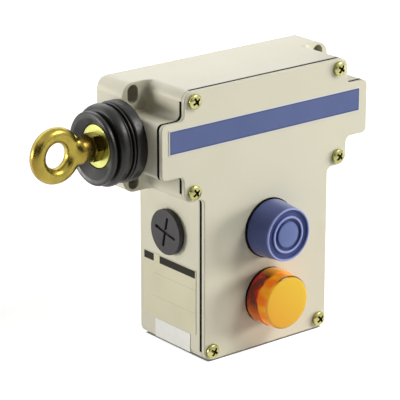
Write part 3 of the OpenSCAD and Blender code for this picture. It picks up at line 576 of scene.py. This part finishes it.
def passivated(name, straw, olive, rose, rough, recess_shade=None, reflection_shade=None):
    """Zinc whose colour follows two noises. An attribute can paint a dark colour into the screws' cross recesses:
    painted shade. A last colour is painted dark brown on top of the collar and nut and at the ring's far end:
    painted shade for dark reflections."""
    f = Finish(name, straw, rough, Metallic=1.0)
    film, patch = f.noise(140, 3), f.noise(420, 2)
    tone = f.mix(f.span(film, 0.38, 0.62), straw, olive)
    zinc = f.mix(f.span(patch, 0.55, 0.72, 0.0, 0.5), tone, rose)
    # Painted shade: where the attribute is 1, the cross recess is painted dark.
    if recess_shade:
        marks = f.tree.nodes.new("ShaderNodeAttribute")
        marks.attribute_name = recess_shade
        zinc = f.mix(marks.outputs["Fac"], zinc, RECESS_SHADE_COLOUR)
    # Painted shade: the top of the collar and nut and the ring's far end are painted dark brown, standing in for
    # dark reflections.
    if reflection_shade:
        near = f.maths("MULTIPLY", f.span(f.axis("X"), collar_x, collar_x + 0.004),
                       f.span(f.axis("X"), SHANK_X + 0.004, SHANK_X))
        level = f.maths("ADD", f.axis("Z"), f.span(film, 0.3, 0.7, -0.001, 0.001))
        high = f.span(level, -0.006, 0.004, 0.25, 1.0)
        tip = f.span(f.axis("X"), collar_x - RING_SPAN + 0.005, collar_x - RING_SPAN, 0.0, 0.7)
        zinc = f.mix(f.maths("MAXIMUM", f.maths("MULTIPLY", near, high), tip), zinc, reflection_shade)
    f.colour(zinc)
    f.rough(f.noise(600, 2), rough - 0.03, rough + 0.04)
    f.relief((f.noise(1800, 3), 0.0000008), (f.noise(260, 1), 0.000006))


# Painted shade: the last colour is the dark brown painted on the collar, the nut and the ring's end.
passivated("yellow_zinc", (0.38, 0.295, 0.058), (0.29, 0.235, 0.045), (0.37, 0.235, 0.06), 0.28,
           reflection_shade=(0.17, 0.108, 0.020))
passivated("washer_zinc", (0.41, 0.42, 0.125), (0.37, 0.38, 0.11), (0.39, 0.36, 0.13), 0.32)
# Painted shade: the screws' cross recesses are painted dark through their recess attribute.
passivated("screw_zinc", (0.50, 0.48, 0.20), (0.37, 0.36, 0.14), (0.45, 0.38, 0.17), 0.27, recess_shade="recess")


def worked(name, light, dark, rough, stretch):
    """Metal with tool marks: noise that is stretched along the way the tool went."""
    f = Finish(name, light, rough, Metallic=1.0)
    marks = f.noise(2400, 4, stretch)
    f.colour(f.mix(f.span(marks, 0.35, 0.65), dark, light))
    f.rough(f.noise(700, 2), rough - 0.06, rough + 0.08)
    f.relief((marks, 0.000010))


worked("bright_steel", (0.60, 0.61, 0.63), (0.48, 0.49, 0.51), 0.26, (1, 0.05, 0.05))
worked("spring_steel", (0.40, 0.41, 0.43), (0.28, 0.29, 0.31), 0.34, (0.4, 0.4, 0.4))
worked("zinc_sheet", (0.64, 0.66, 0.68), (0.54, 0.56, 0.60), 0.38, (1, 1, 0.06))
worked("bronze", (0.58, 0.38, 0.17), (0.40, 0.25, 0.10), 0.46, (1, 1, 1))

# %% [markdown]
# Rubber and plastics share one recipe: nearly one colour, with a fine moulded grain whose
# height and size tell them apart. The boot's rubber is coarser and has a grey bloom on it.

# %% Rubbers and plastics


def moulded(name, colour, rough, grain, height, bloom=(0.06, 0.06, 0.06), share=0.25, **sockets):
    """One colour with up to a share of a paler bloom in broad patches, and a grain of so many bumps to a metre."""
    f = Finish(name, colour, rough, **sockets)
    f.colour(f.mix(f.span(f.noise(60, 3), 0.4, 0.75, 0.0, share), colour, bloom))
    f.rough(f.noise(500, 3), rough - 0.05, rough + 0.08)
    f.relief((f.noise(grain, 2), height))


moulded("boot_rubber", (0.007, 0.0065, 0.006), 0.36, 1500, 0.000010, (0.013, 0.0125, 0.011), 0.5,
        Specular_IOR_Level=0.42)
moulded("gasket_rubber", (0.006, 0.006, 0.005), 0.70, 1800, 0.000015, (0.010, 0.010, 0.009),
        Specular_IOR_Level=0.06)
moulded("cam_plastic", (0.055, 0.085, 0.13), 0.45, 1800, 0.000010, (0.08, 0.11, 0.16))
moulded("block_red", (0.40, 0.045, 0.03), 0.42, 1800, 0.000010, (0.46, 0.07, 0.05))
moulded("block_green", (0.035, 0.17, 0.065), 0.42, 1800, 0.000010, (0.05, 0.21, 0.09))
moulded("plunger_white", (0.78, 0.76, 0.68), 0.40, 1800, 0.000008, (0.70, 0.68, 0.60))
moulded("bezel_black", (0.014, 0.014, 0.015), 0.38, 1800, 0.000010, (0.025, 0.025, 0.027))
moulded("button_plastic", (0.07, 0.08, 0.12), 0.42, 1800, 0.000010, (0.09, 0.10, 0.14))
moulded("holder_plastic", (0.055, 0.057, 0.06), 0.44, 1800, 0.000010, (0.07, 0.07, 0.075))
moulded("plug_grey", (0.034, 0.032, 0.034), 0.50, 1400, 0.000014, (0.050, 0.047, 0.050), 0.6,
        Specular_IOR_Level=0.3)

# %% [markdown]
# The button's boot is blue silicone. Its thin rim and ridge are painted much lighter than its
# flat parts, a painted highlight, and the sunken wells between them are painted darker: painted shade.
#
# The lens is amber plastic. Its lamp is off, but the whole lens is given a faint glow in its
# own colours: painted light. The front is yellow, painted lighter towards the upper right, the
# drum orange, and the foot dark maroon with red patches: partly the holder seen through it,
# partly painted shade. Low down and on top the foot is painted orange: painted light. A thin
# painted dark line marks the far edge of the front: painted shade.

# %% Blue silicone, amber lens and bulb
reset_low, reset_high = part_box("reset_boot")
reset_mid = (reset_low + reset_high) / 2
blue = Finish("button_blue", (0.07, 0.10, 0.32), 0.42, Specular_IOR_Level=0.3,
              Sheen_Weight=0.55, Sheen_Roughness=0.4, Sheen_Tint=(0.80, 0.86, 1.0, 1))
off_axis = blue.away(reset_mid)
# Painted shade: the sunken wells within the rim are painted dark navy.
well_shade = blue.maths("MULTIPLY", blue.span(off_axis, 0.0128, 0.0124),
                  blue.span(blue.axis("Y"), reset_low.y + 0.0025, reset_low.y + 0.0020))
skin = blue.mix(well_shade, (0.068, 0.098, 0.32), (0.024, 0.038, 0.165))
# Painted highlight: the rim and ridge at the front are painted pale blue, the dome a middle blue.
raised_highlight = blue.mix(blue.span(off_axis, 0.0066, 0.0078), (0.125, 0.172, 0.40), (0.38, 0.44, 0.84))
front = blue.span(blue.axis("Y"), reset_low.y + 0.0009, reset_low.y + 0.0003)
shade_and_highlight = blue.mix(front, skin, raised_highlight)
# Random paler patches, in which the front is also painted lighter: painted highlight.
dust_and_highlight = blue.mix(front, (0.075, 0.105, 0.30), (0.165, 0.215, 0.460))
blue.colour(blue.mix(blue.span(blue.noise(80, 3), 0.35, 0.7, 0.0, 0.5), shade_and_highlight, dust_and_highlight))
blue.rough(blue.noise(600, 3), 0.36, 0.48)
blue.relief((blue.noise(1400, 2), 0.000006))

lens_low, lens_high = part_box("pilot_lens")
lens_mid = (lens_low + lens_high) / 2
# The front's two yellows paint it lighter towards the upper right, and the foot's low and top oranges paint light on
# it: painted light and shade.
YELLOW, SHADED_YELLOW = (0.69, 0.47, 0.022), (0.66, 0.32, 0.012)
ORANGE, PALE_ORANGE = (0.92, 0.19, 0.007), (0.98, 0.36, 0.012)
MAROON, RED = (0.15, 0.022, 0.012), (0.46, 0.020, 0.010)
LIT_LOW_ORANGE, LIT_TOP_ORANGE = (0.56, 0.115, 0.008), (0.84, 0.31, 0.006)
# Painted light: the emission strength makes the whole lens glow though its lamp is off.
amber = Finish("lens_amber", (0.82, 0.42, 0.035), 0.14, Specular_IOR_Level=0.3, Emission_Strength=0.28)
behind = amber.maths("SUBTRACT", amber.axis("Y"), lens_low.y)
# The foot's dark maroon is partly the holder seen through it and partly painted shade; low down and on top it is
# painted orange, painted light.
foot = amber.mix(amber.span(amber.noise(190, 2), 0.5, 0.62), MAROON, RED)
foot = amber.mix(amber.span(amber.axis("Z"), lens_mid.z + 0.001, lens_mid.z - 0.006), foot, LIT_LOW_ORANGE)
crown = amber.maths("ADD", amber.maths("MULTIPLY", amber.axis("X"), 0.5), amber.axis("Z"))
crown_mid = lens_mid.x / 2 + lens_mid.z
foot = amber.mix(amber.span(crown, crown_mid + 0.0100, crown_mid + 0.0138), foot, LIT_TOP_ORANGE)
drum = amber.mix(amber.span(amber.noise(170, 2, (1, 0.3, 1)), 0.45, 0.62), ORANGE, PALE_ORANGE)
swirl = amber.maths("ADD", behind, amber.span(amber.noise(110, 2), 0.3, 0.7, -0.0006, 0.0006))
sides = amber.mix(amber.span(swirl, 0.0064, 0.0072), drum, foot)
toward_light = amber.maths("ADD", amber.axis("X"), amber.axis("Z"))
# Painted light: the front is painted lighter towards the upper right and darker towards the lower left.
face = amber.mix(amber.span(toward_light, lens_low.z, lens_high.z + 0.012), SHADED_YELLOW, YELLOW)
face = amber.mix(amber.span(behind, 0.0001, 0.0012), face, sides)
# Painted shade: a thin dark line is painted along the far edge of the front, on its right-hand part.
edge = amber.maths("MULTIPLY", amber.inside(amber.away(lens_mid), 0.0133, 0.0139, 0.00015),
                   amber.span(amber.axis("X"), lens_mid.x - 0.009, lens_mid.x - 0.004))
edge = amber.maths("MULTIPLY", edge, amber.span(behind, 0.004, 0.003))
face = amber.mix(amber.maths("MULTIPLY", edge, 0.95), face, (0.06, 0.015, 0.003))
amber.colour(face)
# Painted light: the lens glows in the same colours, though its lamp is off.
amber.put(amber.shader.inputs["Emission Color"], face)
amber.rough(amber.noise(400, 2), 0.10, 0.18)
amber.relief((amber.noise(900, 2), 0.000003))

bulb = Finish("lamp_glass", (0.95, 0.92, 0.84), 0.08, Transmission_Weight=0.9, IOR=1.45)
bulb.relief((bulb.noise(400, 1), 0.00001))

# %% [markdown]
# The strip, the data plate and the sticker are printed films. Their places for names and
# numbers stay bare: the strip is plain blue with a thin pale border, and the plate keeps
# only its dark bar, in two lengths, and its faint ruled lines. The print is drawn by where
# a point lies on the plate, in metres.

# %% Printed films
BORDER, LINE = 0.00055, 0.0001
CRISP, RULE = 0.00008, 0.00012


def within(finish, low, high, margin):
    """1 inside a box's X and Z limits, so far in from each side."""
    return finish.maths("MULTIPLY", finish.inside(finish.axis("X"), low.x + margin, high.x - margin, LINE),
                        finish.inside(finish.axis("Z"), low.z + margin, high.z - margin, LINE))


strip_low, strip_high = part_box("front_label")
film = Finish("strip_blue", (0.10, 0.13, 0.30), 0.46, Specular_IOR_Level=0.3)
field = within(film, strip_low, strip_high, BORDER)
rim = within(film, strip_low, strip_high, 2 * BORDER)
ink = film.mix(film.span(film.noise(40, 2), 0.35, 0.65), (0.094, 0.126, 0.290), (0.104, 0.138, 0.310))
ink = film.mix(rim, (0.055, 0.070, 0.17), ink)
film.colour(film.mix(field, (0.70, 0.72, 0.74), ink))
film.rough(film.noise(700, 2), 0.42, 0.52)
film.relief((film.noise(1200, 2), 0.000006))

plate_low, plate_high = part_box("data_plate")
plate = Finish("plate_cream", (0.72, 0.69, 0.52), 0.46, Specular_IOR_Level=0.1)
height, across = plate.axis("Z"), plate.axis("Y")
height_bar = plate.inside(height, plate_high.z - 0.0043, plate_high.z - 0.0003, CRISP)
lengths = 0.0
for start, end in ((0.0006, 0.0085), (0.0132, 0.0418)):
    length = plate.inside(across, plate_high.y - end, plate_high.y - start, CRISP)
    lengths = plate.maths("MAXIMUM", length, lengths)
bar = plate.maths("MULTIPLY", height_bar, lengths)
rules = 0.0
for drop, start in ((0.0105, 0.0085), (0.0229, 0.0075)):
    line = plate.inside(height, plate_high.z - drop - RULE, plate_high.z - drop + RULE, RULE / 2)
    reach = plate.inside(across, plate_low.y + 0.0006, plate_high.y - start, LINE)
    rules = plate.maths("MAXIMUM", plate.maths("MULTIPLY", line, reach), rules)
cream = plate.mix(plate.span(plate.noise(50, 2), 0.35, 0.65), (0.74, 0.71, 0.53), (0.70, 0.675, 0.50))
printed = plate.mix(plate.maths("MULTIPLY", rules, 0.45), cream, (0.35, 0.33, 0.25))
plate.colour(plate.mix(bar, printed, (0.022, 0.019, 0.014)))
plate.rough(plate.noise(700, 2), 0.40, 0.52)
plate.relief((plate.noise(1200, 2), 0.000006))

sticker = Finish("sticker_white", (0.86, 0.86, 0.82), 0.5)
fibres = sticker.span(sticker.noise(300, 4), 0.4, 0.7, 0.0, 0.5)
sticker.colour(sticker.mix(fibres, (0.87, 0.87, 0.84), (0.80, 0.80, 0.77)))
sticker.relief((sticker.noise(2500, 3, (1, 1, 0.3)), 0.000008))

missing = sorted(set(slot_of.values()) - set(FINISHES))
print("finishes:", len(FINISHES), " slots without one:", missing)

# %% [markdown]
# ## Solids that keep their own mesh
# The casting, the cover, the plates and everything inside are already right in shape, but a
# CAD solid has knife edges, and no cast or moulded edge is that sharp. Three modifiers mend
# that without touching the mesh: the loose triangles are welded and their flat parts
# joined, a small bevel rounds the edges, and weighted normals keep the flats flat. The
# gasket gets one more, which swells it until it is flush: the screws squeeze it, so it
# fills the whole seam and draws its dark line. On the casting and some inner solids the
# bevel finds no room and shrinks to thousandths of a millimetre, so the casting's round
# edges are drawn by the enamel's shader alone.

# %% Soft edges and a finish for every solid
SWELL = 0.0004


def dress(node, edge=0.0):
    """Gives a solid its slot's finish, and asks for a bevel that many millimetres wide."""
    solid = nodes[node]
    solid.data.materials.clear()
    solid.data.materials.append(FINISHES[slot_of[node]])
    weld = solid.modifiers.new("weld", "WELD")
    weld.merge_threshold = 2e-6
    if edge:
        flats = solid.modifiers.new("flats", "DECIMATE")
        flats.decimate_type, flats.angle_limit = "DISSOLVE", math.radians(0.6)
        bevel = solid.modifiers.new("edges", "BEVEL")
        bevel.width, bevel.segments = edge * MM, 3
        bevel.use_clamp_overlap = node != "front_cover"
        bevel.limit_method, bevel.angle_limit = "ANGLE", math.radians(35)
        normals = solid.modifiers.new("normals", "WEIGHTED_NORMAL")
        normals.keep_sharp = True


EDGES = {"housing_body": 0.4, "front_cover": 0.5, "front_label": 0.06, "data_plate": 0.06, "reference_sticker": 0.06,
         "switch_cam": 0.3, "contact_bracket": 0.3, "contact_block_nc": 0.4, "contact_block_no": 0.4,
         "latch_lever": 0.3, "lamp_holder": 0.4}
for node in nodes:
    dress(node, EDGES.get(node, 0.0))
swell = nodes["cover_gasket"].modifiers.new("squeezed", "DISPLACE")
swell.strength, swell.mid_level = SWELL, 0.0
print("dressed solids:", len(nodes), " that ask for a bevel:", len(EDGES))


def finish_piece(made, slot, *stands_for, finish=None, body=None):
    """Gives a new piece its finish, or else its slot's finish, hides the solids it stands for, and parents it to
    an empty named for their body unless body is False.
    """
    made.data.materials.append(FINISHES[finish or slot])
    if body is not False:
        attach(made, body or body_of[stands_for[0]])
    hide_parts(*stands_for)
    print(f"{made.name}: {len(made.data.polygons)} faces, for {', '.join(stands_for)}")
    return made


# %% [markdown]
# ## Rope end
# The eyebolt is a forging: a ring whose stock swells into a collar. Modelled as a torus
# and a cylinder that just meet, it would look assembled, so it is a distance function
# instead: the ring and the collar are joined with a fillet, and the surface is found
# afterwards. The collar takes up a little of the nut's place.

# %% Eyebolt
to_mm = lambda corners: [np.array(c) * 1000 for c in corners]
boot_low, boot_high = to_mm(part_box("boot"))
wall_x, rope_y = boot_high[0], (boot_low[1] + boot_high[1]) / 2
nut_low, nut_high = to_mm(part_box("lock_nut"))
eye_low, eye_high = to_mm(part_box("eyebolt"))
WIRE, COLLAR_R, OVER_NUT, PAD = 7.8, 7.0, 1.7, 1.2
THREAD_R, DEPTH, PITCH = 4.0, 0.6, 1.25
ring_d = eye_high[2] - eye_low[2]
ring_r = (ring_d - WIRE) / 2
eye_x = eye_low[0] + ring_d / 2
seat_x = nut_low[0] + OVER_NUT


def eyebolt_distance(x, y, z):
    """The ring is the distance to a circle less the stock's radius. The collar is a cylinder whose outer end is
    round like a ball, and it runs into the ring. The two blend softly, so a wide fillet joins them."""
    x, y = x - eye_x, y - rope_y
    ring = np.hypot(np.hypot(x, z) - ring_r, y) - WIRE / 2
    collar = soft_and(np.hypot(y, z) - COLLAR_R, ring_r - 0.2 - x, 4.2)
    collar = soft_and(collar, x - (seat_x - eye_x), 0.5)
    return soft_or(collar, ring, 2.0)


forged = shaped(eyebolt_distance, (eye_low[0] - PAD, rope_y - COLLAR_R - PAD, eye_low[2] - PAD),
                (seat_x + PAD, rope_y + COLLAR_R + PAD, eye_high[2] + PAD), 0.32)
shank = np.arange(seat_x - 0.3, eye_high[0], PITCH / 2)
ridges = [(u, THREAD_R - (DEPTH if i % 2 else 0.0)) for i, u in enumerate(shank)]
thread = [(shank[0], 0.0), *ridges, (shank[-1] + 0.1, 0.0)]
eyebolt = piece("forged_eyebolt", *join(forged, turned(thread, (0, rope_y, 0), (1, 0, 0), 48)), smooth=50)
finish_piece(eyebolt, "yellow_zinc", "eyebolt")

# %% [markdown]
# The lock nut is a hexagon with both ends turned off by a cone, so its corners end in
# curved facets. The washer under it is a plain stamped ring with eased edges.

# %% Lock nut and washer
FLAT_R = (nut_high[1] - nut_low[1]) / 2 - 0.02
BORE_R = THREAD_R + 0.05


def nut_distance(x, y, z):
    """A hexagon is the largest of three slab distances. A cone's distance cuts both ends, and a cylinder's the
    bore."""
    y = y - rope_y
    mid, half = (seat_x + nut_high[0]) / 2, (nut_high[0] - seat_x) / 2
    c, s = 0.5, math.sqrt(3) / 2
    slabs = [np.abs(z), np.abs(c * z + s * y), np.abs(c * z - s * y)]
    hexagon = soft_and(soft_and(slabs[0], slabs[1], 0.25), slabs[2], 0.25) - FLAT_R
    ends = np.abs(x - mid) - half
    cone = (np.hypot(y, z) + ends * 1.7 - FLAT_R * 1.04) * 0.5
    solid = soft_and(soft_and(hexagon, ends, 0.2), cone, 0.2)
    return soft_and(solid, BORE_R - np.hypot(y, z), 0.3)


ROOM = 8.3
hexagonal = shaped(nut_distance, (seat_x - 0.6, rope_y - ROOM, -ROOM), (nut_high[0] + 0.6, rope_y + ROOM, ROOM), 0.2)
nut = piece("chamfered_lock_nut", *hexagonal, smooth=50)
finish_piece(nut, "yellow_zinc", "lock_nut")
washer_low, washer_high = to_mm(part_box("eye_washer"))
disc_r, disc_t = (washer_high[1] - washer_low[1]) / 2, washer_high[0] - washer_low[0]
washer_profile = eased([(0, BORE_R, 0.1), (0, disc_r, 0.3), (disc_t, disc_r, 0.3), (disc_t, BORE_R, 0.1)])
washer = piece("stamped_washer", *turned(washer_profile, (washer_low[0], rope_y, 0), (1, 0, 0)))
finish_piece(washer, "yellow_zinc", "eye_washer", finish="washer_zinc")

# %% [markdown]
# The boot is one rubber moulding: a thick flange on the casting, two thin ribs, a broad fold
# and a front disc, which is dished down to the washer that it grips. The disc's rim hangs a
# millimetre low, as soft rubber does on a long neck.

# %% Boot
boot_len = boot_high[0] - boot_low[0]
flange_r = (boot_high[2] - boot_low[2]) / 2
seat_u = boot_len - (washer_high[0] - boot_low[0])
dish_u = boot_len - (washer_low[0] - boot_low[0])
seat_r = disc_r + 0.4
SAG = 0.9
MOUTH_R, HOLLOW_R, ROD_R, WALL, SKIN = 13.0, 15.8, 5.8, 2.6, 3.0


def rib(u, r):
    """A thin rib with a round crest at u, and the foot of the groove before it."""
    return [(u - 0.7, r - 2.0, 0.2), (u - 0.45, r, 0.4), (u + 0.45, r, 0.4), (u + 0.65, r - 2.0, 0.2)]


boot_profile = eased([
    (0.0, MOUTH_R, 0), (0.0, flange_r, 0.5), (5.7, flange_r, 1.2), (5.9, flange_r - 1.9, 0.2),
    *rib(7.0, flange_r - 0.4), *rib(8.7, flange_r - 1.2),
    (9.5, flange_r - 2.4, 0.2), (9.7, flange_r - 0.1, 2.2), (14.4, flange_r - 0.1, 2.4), (15.3, flange_r - 4.4, 0.3),
    (15.9, flange_r - 4.4, 0.2), (16.6, flange_r - 2.0, 1.0), (boot_len + 0.2, flange_r - 1.9, 1.3),
    (boot_len + 0.8, flange_r - 3.4, 0.9), (boot_len + 0.4, flange_r - 5.0, 0.8),
    (dish_u, seat_r, 0.3), (seat_u, seat_r, 0.1), (seat_u, ROD_R, 0), (seat_u - SKIN, ROD_R, 0.3),
    (seat_u - SKIN, HOLLOW_R, 0.5), (WALL, HOLLOW_R, 0.5), (WALL, MOUTH_R, 0)], steps=5)
boot_points, boot_faces = turned(boot_profile, (wall_x, rope_y, 0), (-1, 0, 0), 224)
forward = np.clip((wall_x - boot_points[:, 0] - 10.0) / 6.0, 0, 1)
rim = np.clip((np.hypot(boot_points[:, 1] - rope_y, boot_points[:, 2]) - disc_r) / 4.0, 0, 1)
boot_points[:, 2] -= SAG * forward**2 * (3 - 2 * forward) * rim**2 * (3 - 2 * rim)
boot = piece("ribbed_boot", boot_points, boot_faces, smooth=60)
finish_piece(boot, "boot_rubber", "boot", body=False)
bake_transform(boot)

# %% [markdown]
# ## Cover screws
# A pan head with a cross recess catches light on its dome, and its cross is painted dark:
# painted shade. The recess narrows as it goes down, as the driver's tip does. One screw is
# computed, and its points are turned and moved to the six places, each stopped at its own angle.

# %% Pan head screws
HEAD_R, HEAD_H, DOME = 3.7, 2.7, 6.66
CROSS_R, CROSS_HALF, CROSS_DEEP = 2.55, 0.62, 1.75
FOOT_X, STEM_CREST, STEM_ROOT = 35.35, 1.65, 1.35
screws_low, screws_high = to_mm(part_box("cover_screws"))
cover_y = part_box("front_cover")[0].y * 1000
head_x, head_z = screws_high[0] - HEAD_R, screws_high[2] - HEAD_R
foot_z = screws_low[2] + HEAD_R
SCREWS = [(-head_x, head_z, 31), (head_x, head_z, 52), (-head_x, -head_z, 33), (head_x, -head_z, 47),
          (-FOOT_X, foot_z, 58), (FOOT_X, foot_z, 38)]


def screw_distance(x, y, z):
    """A cylinder and a ball share the head's volume. The cross is two crossed slots that narrow with depth."""
    head = soft_and(np.hypot(x, y) - HEAD_R, np.sqrt(x**2 + y**2 + (z - HEAD_H + DOME) ** 2) - DOME, 0.35)
    head = soft_and(head, -z, 0.1)
    deep = HEAD_H - z
    long, half = CROSS_R - 0.5 * deep, CROSS_HALF - 0.12 * deep
    arms = [soft_and(np.abs(p) - long, np.abs(q) - half, 0.15) for p, q in ((x, y), (y, x))]
    cross = soft_and(soft_or(*arms, 0.25), deep - CROSS_DEEP, 0.2)
    return soft_and(head, -cross, 0.16)


head_points, head_faces = shaped(screw_distance, (-4.4, -4.4, -0.6), (4.4, 4.4, 3.4), 0.17)
shank_u = np.arange(-(screws_high[1] - cover_y) + 0.2, 0.2, 0.35)
shank_r = np.where(np.arange(len(shank_u)) % 2, STEM_CREST, STEM_ROOT)
stem = turned([(shank_u[0], 0.0), *zip(shank_u, shank_r), (shank_u[-1], 0.0)], (0, 0, 0), (0, 0, 1), 24)
one_points, one_faces = join((head_points, head_faces), stem)


def stood(points, x, z, y, turn):
    """Turns points about their own Z axis, then lays that axis along -Y and moves them to (x, y, z)."""
    c, s = math.cos(math.radians(turn)), math.sin(math.radians(turn))
    px, py = points[:, 0] * c - points[:, 1] * s, points[:, 0] * s + points[:, 1] * c
    return np.stack([x + px, y - points[:, 2], z + py], 1)


six = [(stood(one_points, x, z, cover_y, turn), one_faces) for x, z, turn in SCREWS]
screws = piece("pan_head_screws", *join(*six), smooth=60)
at = np.empty(3 * len(screws.data.vertices), np.float32)
screws.data.vertices.foreach_get("co", at)
at = at.reshape(-1, 3).astype(float) / MM
# Painted shade: points sunk in a cross recess get a share that paints them dark.
off = np.min([np.hypot(at[:, 0] - x, at[:, 2] - z) for x, z, _ in SCREWS], axis=0)
sunk = np.sqrt(DOME**2 - np.minimum(off, HEAD_R) ** 2) - DOME + HEAD_H - (cover_y - at[:, 1])
recess_shade = np.where(off < 2.8, np.clip((sunk - 0.08) / 0.2, 0, 1), 0)
screws.data.attributes.new("recess", "FLOAT", "POINT").data.foreach_set("value", recess_shade.astype(np.float32))
finish_piece(screws, "yellow_zinc", "cover_screws", finish="screw_zinc")
print("points in the recesses:", int((recess_shade > 0.5).sum()))

# %% [markdown]
# ## Reset button
# A silicone boot covers the button: a slightly tapered skirt, a thin rim round a sunken
# face, a ridge ring, a groove and a low dome. All of it is one profile on the lathe.

# %% Button boot
reset_c = to_mm([reset_mid])[0]
skirt_r = (reset_high.x - reset_low.x) * 500
tall = (reset_high.y - reset_low.y) * 1000
SUNK = 1.35
front_r = skirt_r - 1.3
button_profile = eased([
    (0.0, skirt_r - 2.6, 0), (0.0, skirt_r, 0.3), (tall - 0.5, front_r + 0.05, 0.2), (tall, front_r - 0.15, 0.3),
    (tall, front_r - 0.8, 0.3), (tall - SUNK, front_r - 1.15, 0.15), (tall - SUNK, 9.8, 0.2),
    (tall - 0.15, 9.55, 0.4), (tall - 0.15, 8.55, 0.4), (tall - SUNK, 8.3, 0.2), (tall - SUNK, 6.75, 0.2),
    (tall - 0.4, 6.55, 0.4), (tall - 0.2, 4.0, 3.0), (tall - 0.15, 0.0, 0), (tall - 2.9, 0.0, 0),
    (tall - 2.9, skirt_r - 3.6, 0.6), (tall - 4.2, skirt_r - 2.6, 0.6)], steps=5)
skin_grid = turned(button_profile, (reset_c[0], reset_high.y * 1000, reset_c[2]), (0, -1, 0), 224)
button = piece("button_skin", *skin_grid, smooth=60)
finish_piece(button, "button_blue", "reset_boot")
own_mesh(button)

# %% [markdown]
# ## Pilot light
# The lens is a stepped amber cap: a foot on the black ring, a narrower drum and a flat,
# eased front. It is hollow, so the lamp has its room.

# %% Amber lens
lens_c = to_mm([lens_mid])[0]
foot_r = (lens_high.x - lens_low.x) * 500
lens_h = (lens_high.y - lens_low.y) * 1000
step_u = lens_h * 0.42
lens_profile = eased([
    (-1.5, foot_r - 0.4, 0), (-1.5, foot_r + 0.3, 0.1), (step_u, foot_r + 0.2, 0.3), (step_u, foot_r - 0.3, 0.12),
    (lens_h - 0.05, foot_r - 0.25, 1.6), (lens_h, 9.0, 0), (lens_h, 0.0, 0),
    (lens_h - 1.6, 0.0, 0), (lens_h - 1.6, foot_r - 2.8, 0.6)], steps=8)
cap = turned(lens_profile, (lens_c[0], lens_high.y * 1000, lens_c[2]), (0, -1, 0), 224)
lens = piece("stepped_lens", *cap, smooth=50)
finish_piece(lens, "lens_amber", "pilot_lens")

# %% [markdown]
# ## Blanking plugs
# Each plug is a flat disc with an eased rim and a crossed slot for a coin, on a hollow
# threaded neck. The slot's ends are square and its edges slightly broken.

# %% Blanking plugs
PLUG_HEAD, COIN_LONG, COIN_HALF, COIN_DEEP = 2.8, 8.0, 0.8, 1.4
CREST_R, ROOT_R, HOLE_R, PLUG_PITCH = 9.35, 8.75, 6.9, 1.5


def plug(name, node, side, turn):
    """The head is a disc with round edges less two crossed bars. The neck behind it is turned with its thread."""
    low, high = to_mm(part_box(node))
    y, z = (low[1] + high[1]) / 2, (low[2] + high[2]) / 2
    outer = high[0] if side > 0 else -low[0]
    inner = low[0] if side > 0 else -high[0]
    r, thick = (high[2] - low[2]) / 2, PLUG_HEAD
    a = math.radians(turn)

    def head(u, p, q):
        """A disc less the larger of the bars' common distance and their depth."""
        disc = soft_and(np.hypot(p, q) - r, np.abs(u - outer + thick / 2) - thick / 2, 0.55)
        b, c = p * math.cos(a) + q * math.sin(a), q * math.cos(a) - p * math.sin(a)
        bars = [np.maximum(np.abs(m) - COIN_LONG, np.abs(n) - COIN_HALF) for m, n in ((b, c), (c, b))]
        slot = np.maximum(np.minimum(*bars), outer - COIN_DEEP - u)
        return soft_and(disc, -slot, 0.18)

    coin = shaped(head, (outer - thick - 0.6, -r - 0.6, -r - 0.6), (outer + 0.5, r + 0.6, r + 0.6), 0.24)
    u = np.arange(inner, outer - thick + 0.1, PLUG_PITCH / 2)
    rim = np.where(np.arange(len(u)) % 2, CREST_R, ROOT_R)
    neck = turned([(u[0], HOLE_R), *zip(u, rim), (u[-1], HOLE_R)], (0, 0, 0), (1, 0, 0), 96)
    points, faces = join(coin, neck)
    points = points * (side, 1, 1) + (0, y, z)
    return finish_piece(piece(name, points, faces, smooth=50), "plug_grey", node)


plug("coin_slot_plug_left", "blanking_plug_left", -1, 13)
plug("coin_slot_plug_right", "blanking_plug_right", 1, -13)

# %% [markdown]
# ## Springs
# The CAD springs are open helices. Real ones have flat end turns, and they shorten when
# the switch moves. They are wound again here with flat end turns.

# %% Springs


def spring(name, node, along, wire, turns):
    """A spring in its solid's box: the coil's mean radius is half the box less half the wire."""
    low, high = to_mm(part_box(node))
    k = int(np.argmax(np.abs(along)))
    middle = (low + high) / 2
    others = [i for i in range(3) if i != k]
    mean_r = max(high[i] - low[i] for i in others) / 2 - wire / 2
    start = middle.copy()
    start[k] = low[k] if sum(along) > 0 else high[k]
    wound = coiled(mean_r, wire, high[k] - low[k], turns, start, along)
    return finish_piece(piece(name, *wound, smooth=60, fill=True), "spring_steel", node)


main = spring("wound_main_spring", "main_spring", (1, 0, 0), 1.8, 9)
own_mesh(main)
returning = spring("wound_reset_spring", "reset_spring", (0, -1, 0), 1.1, 5)
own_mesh(returning)
spring("wound_latch_spring", "latch_spring", (1, 0, 0), 0.8, 3.5)
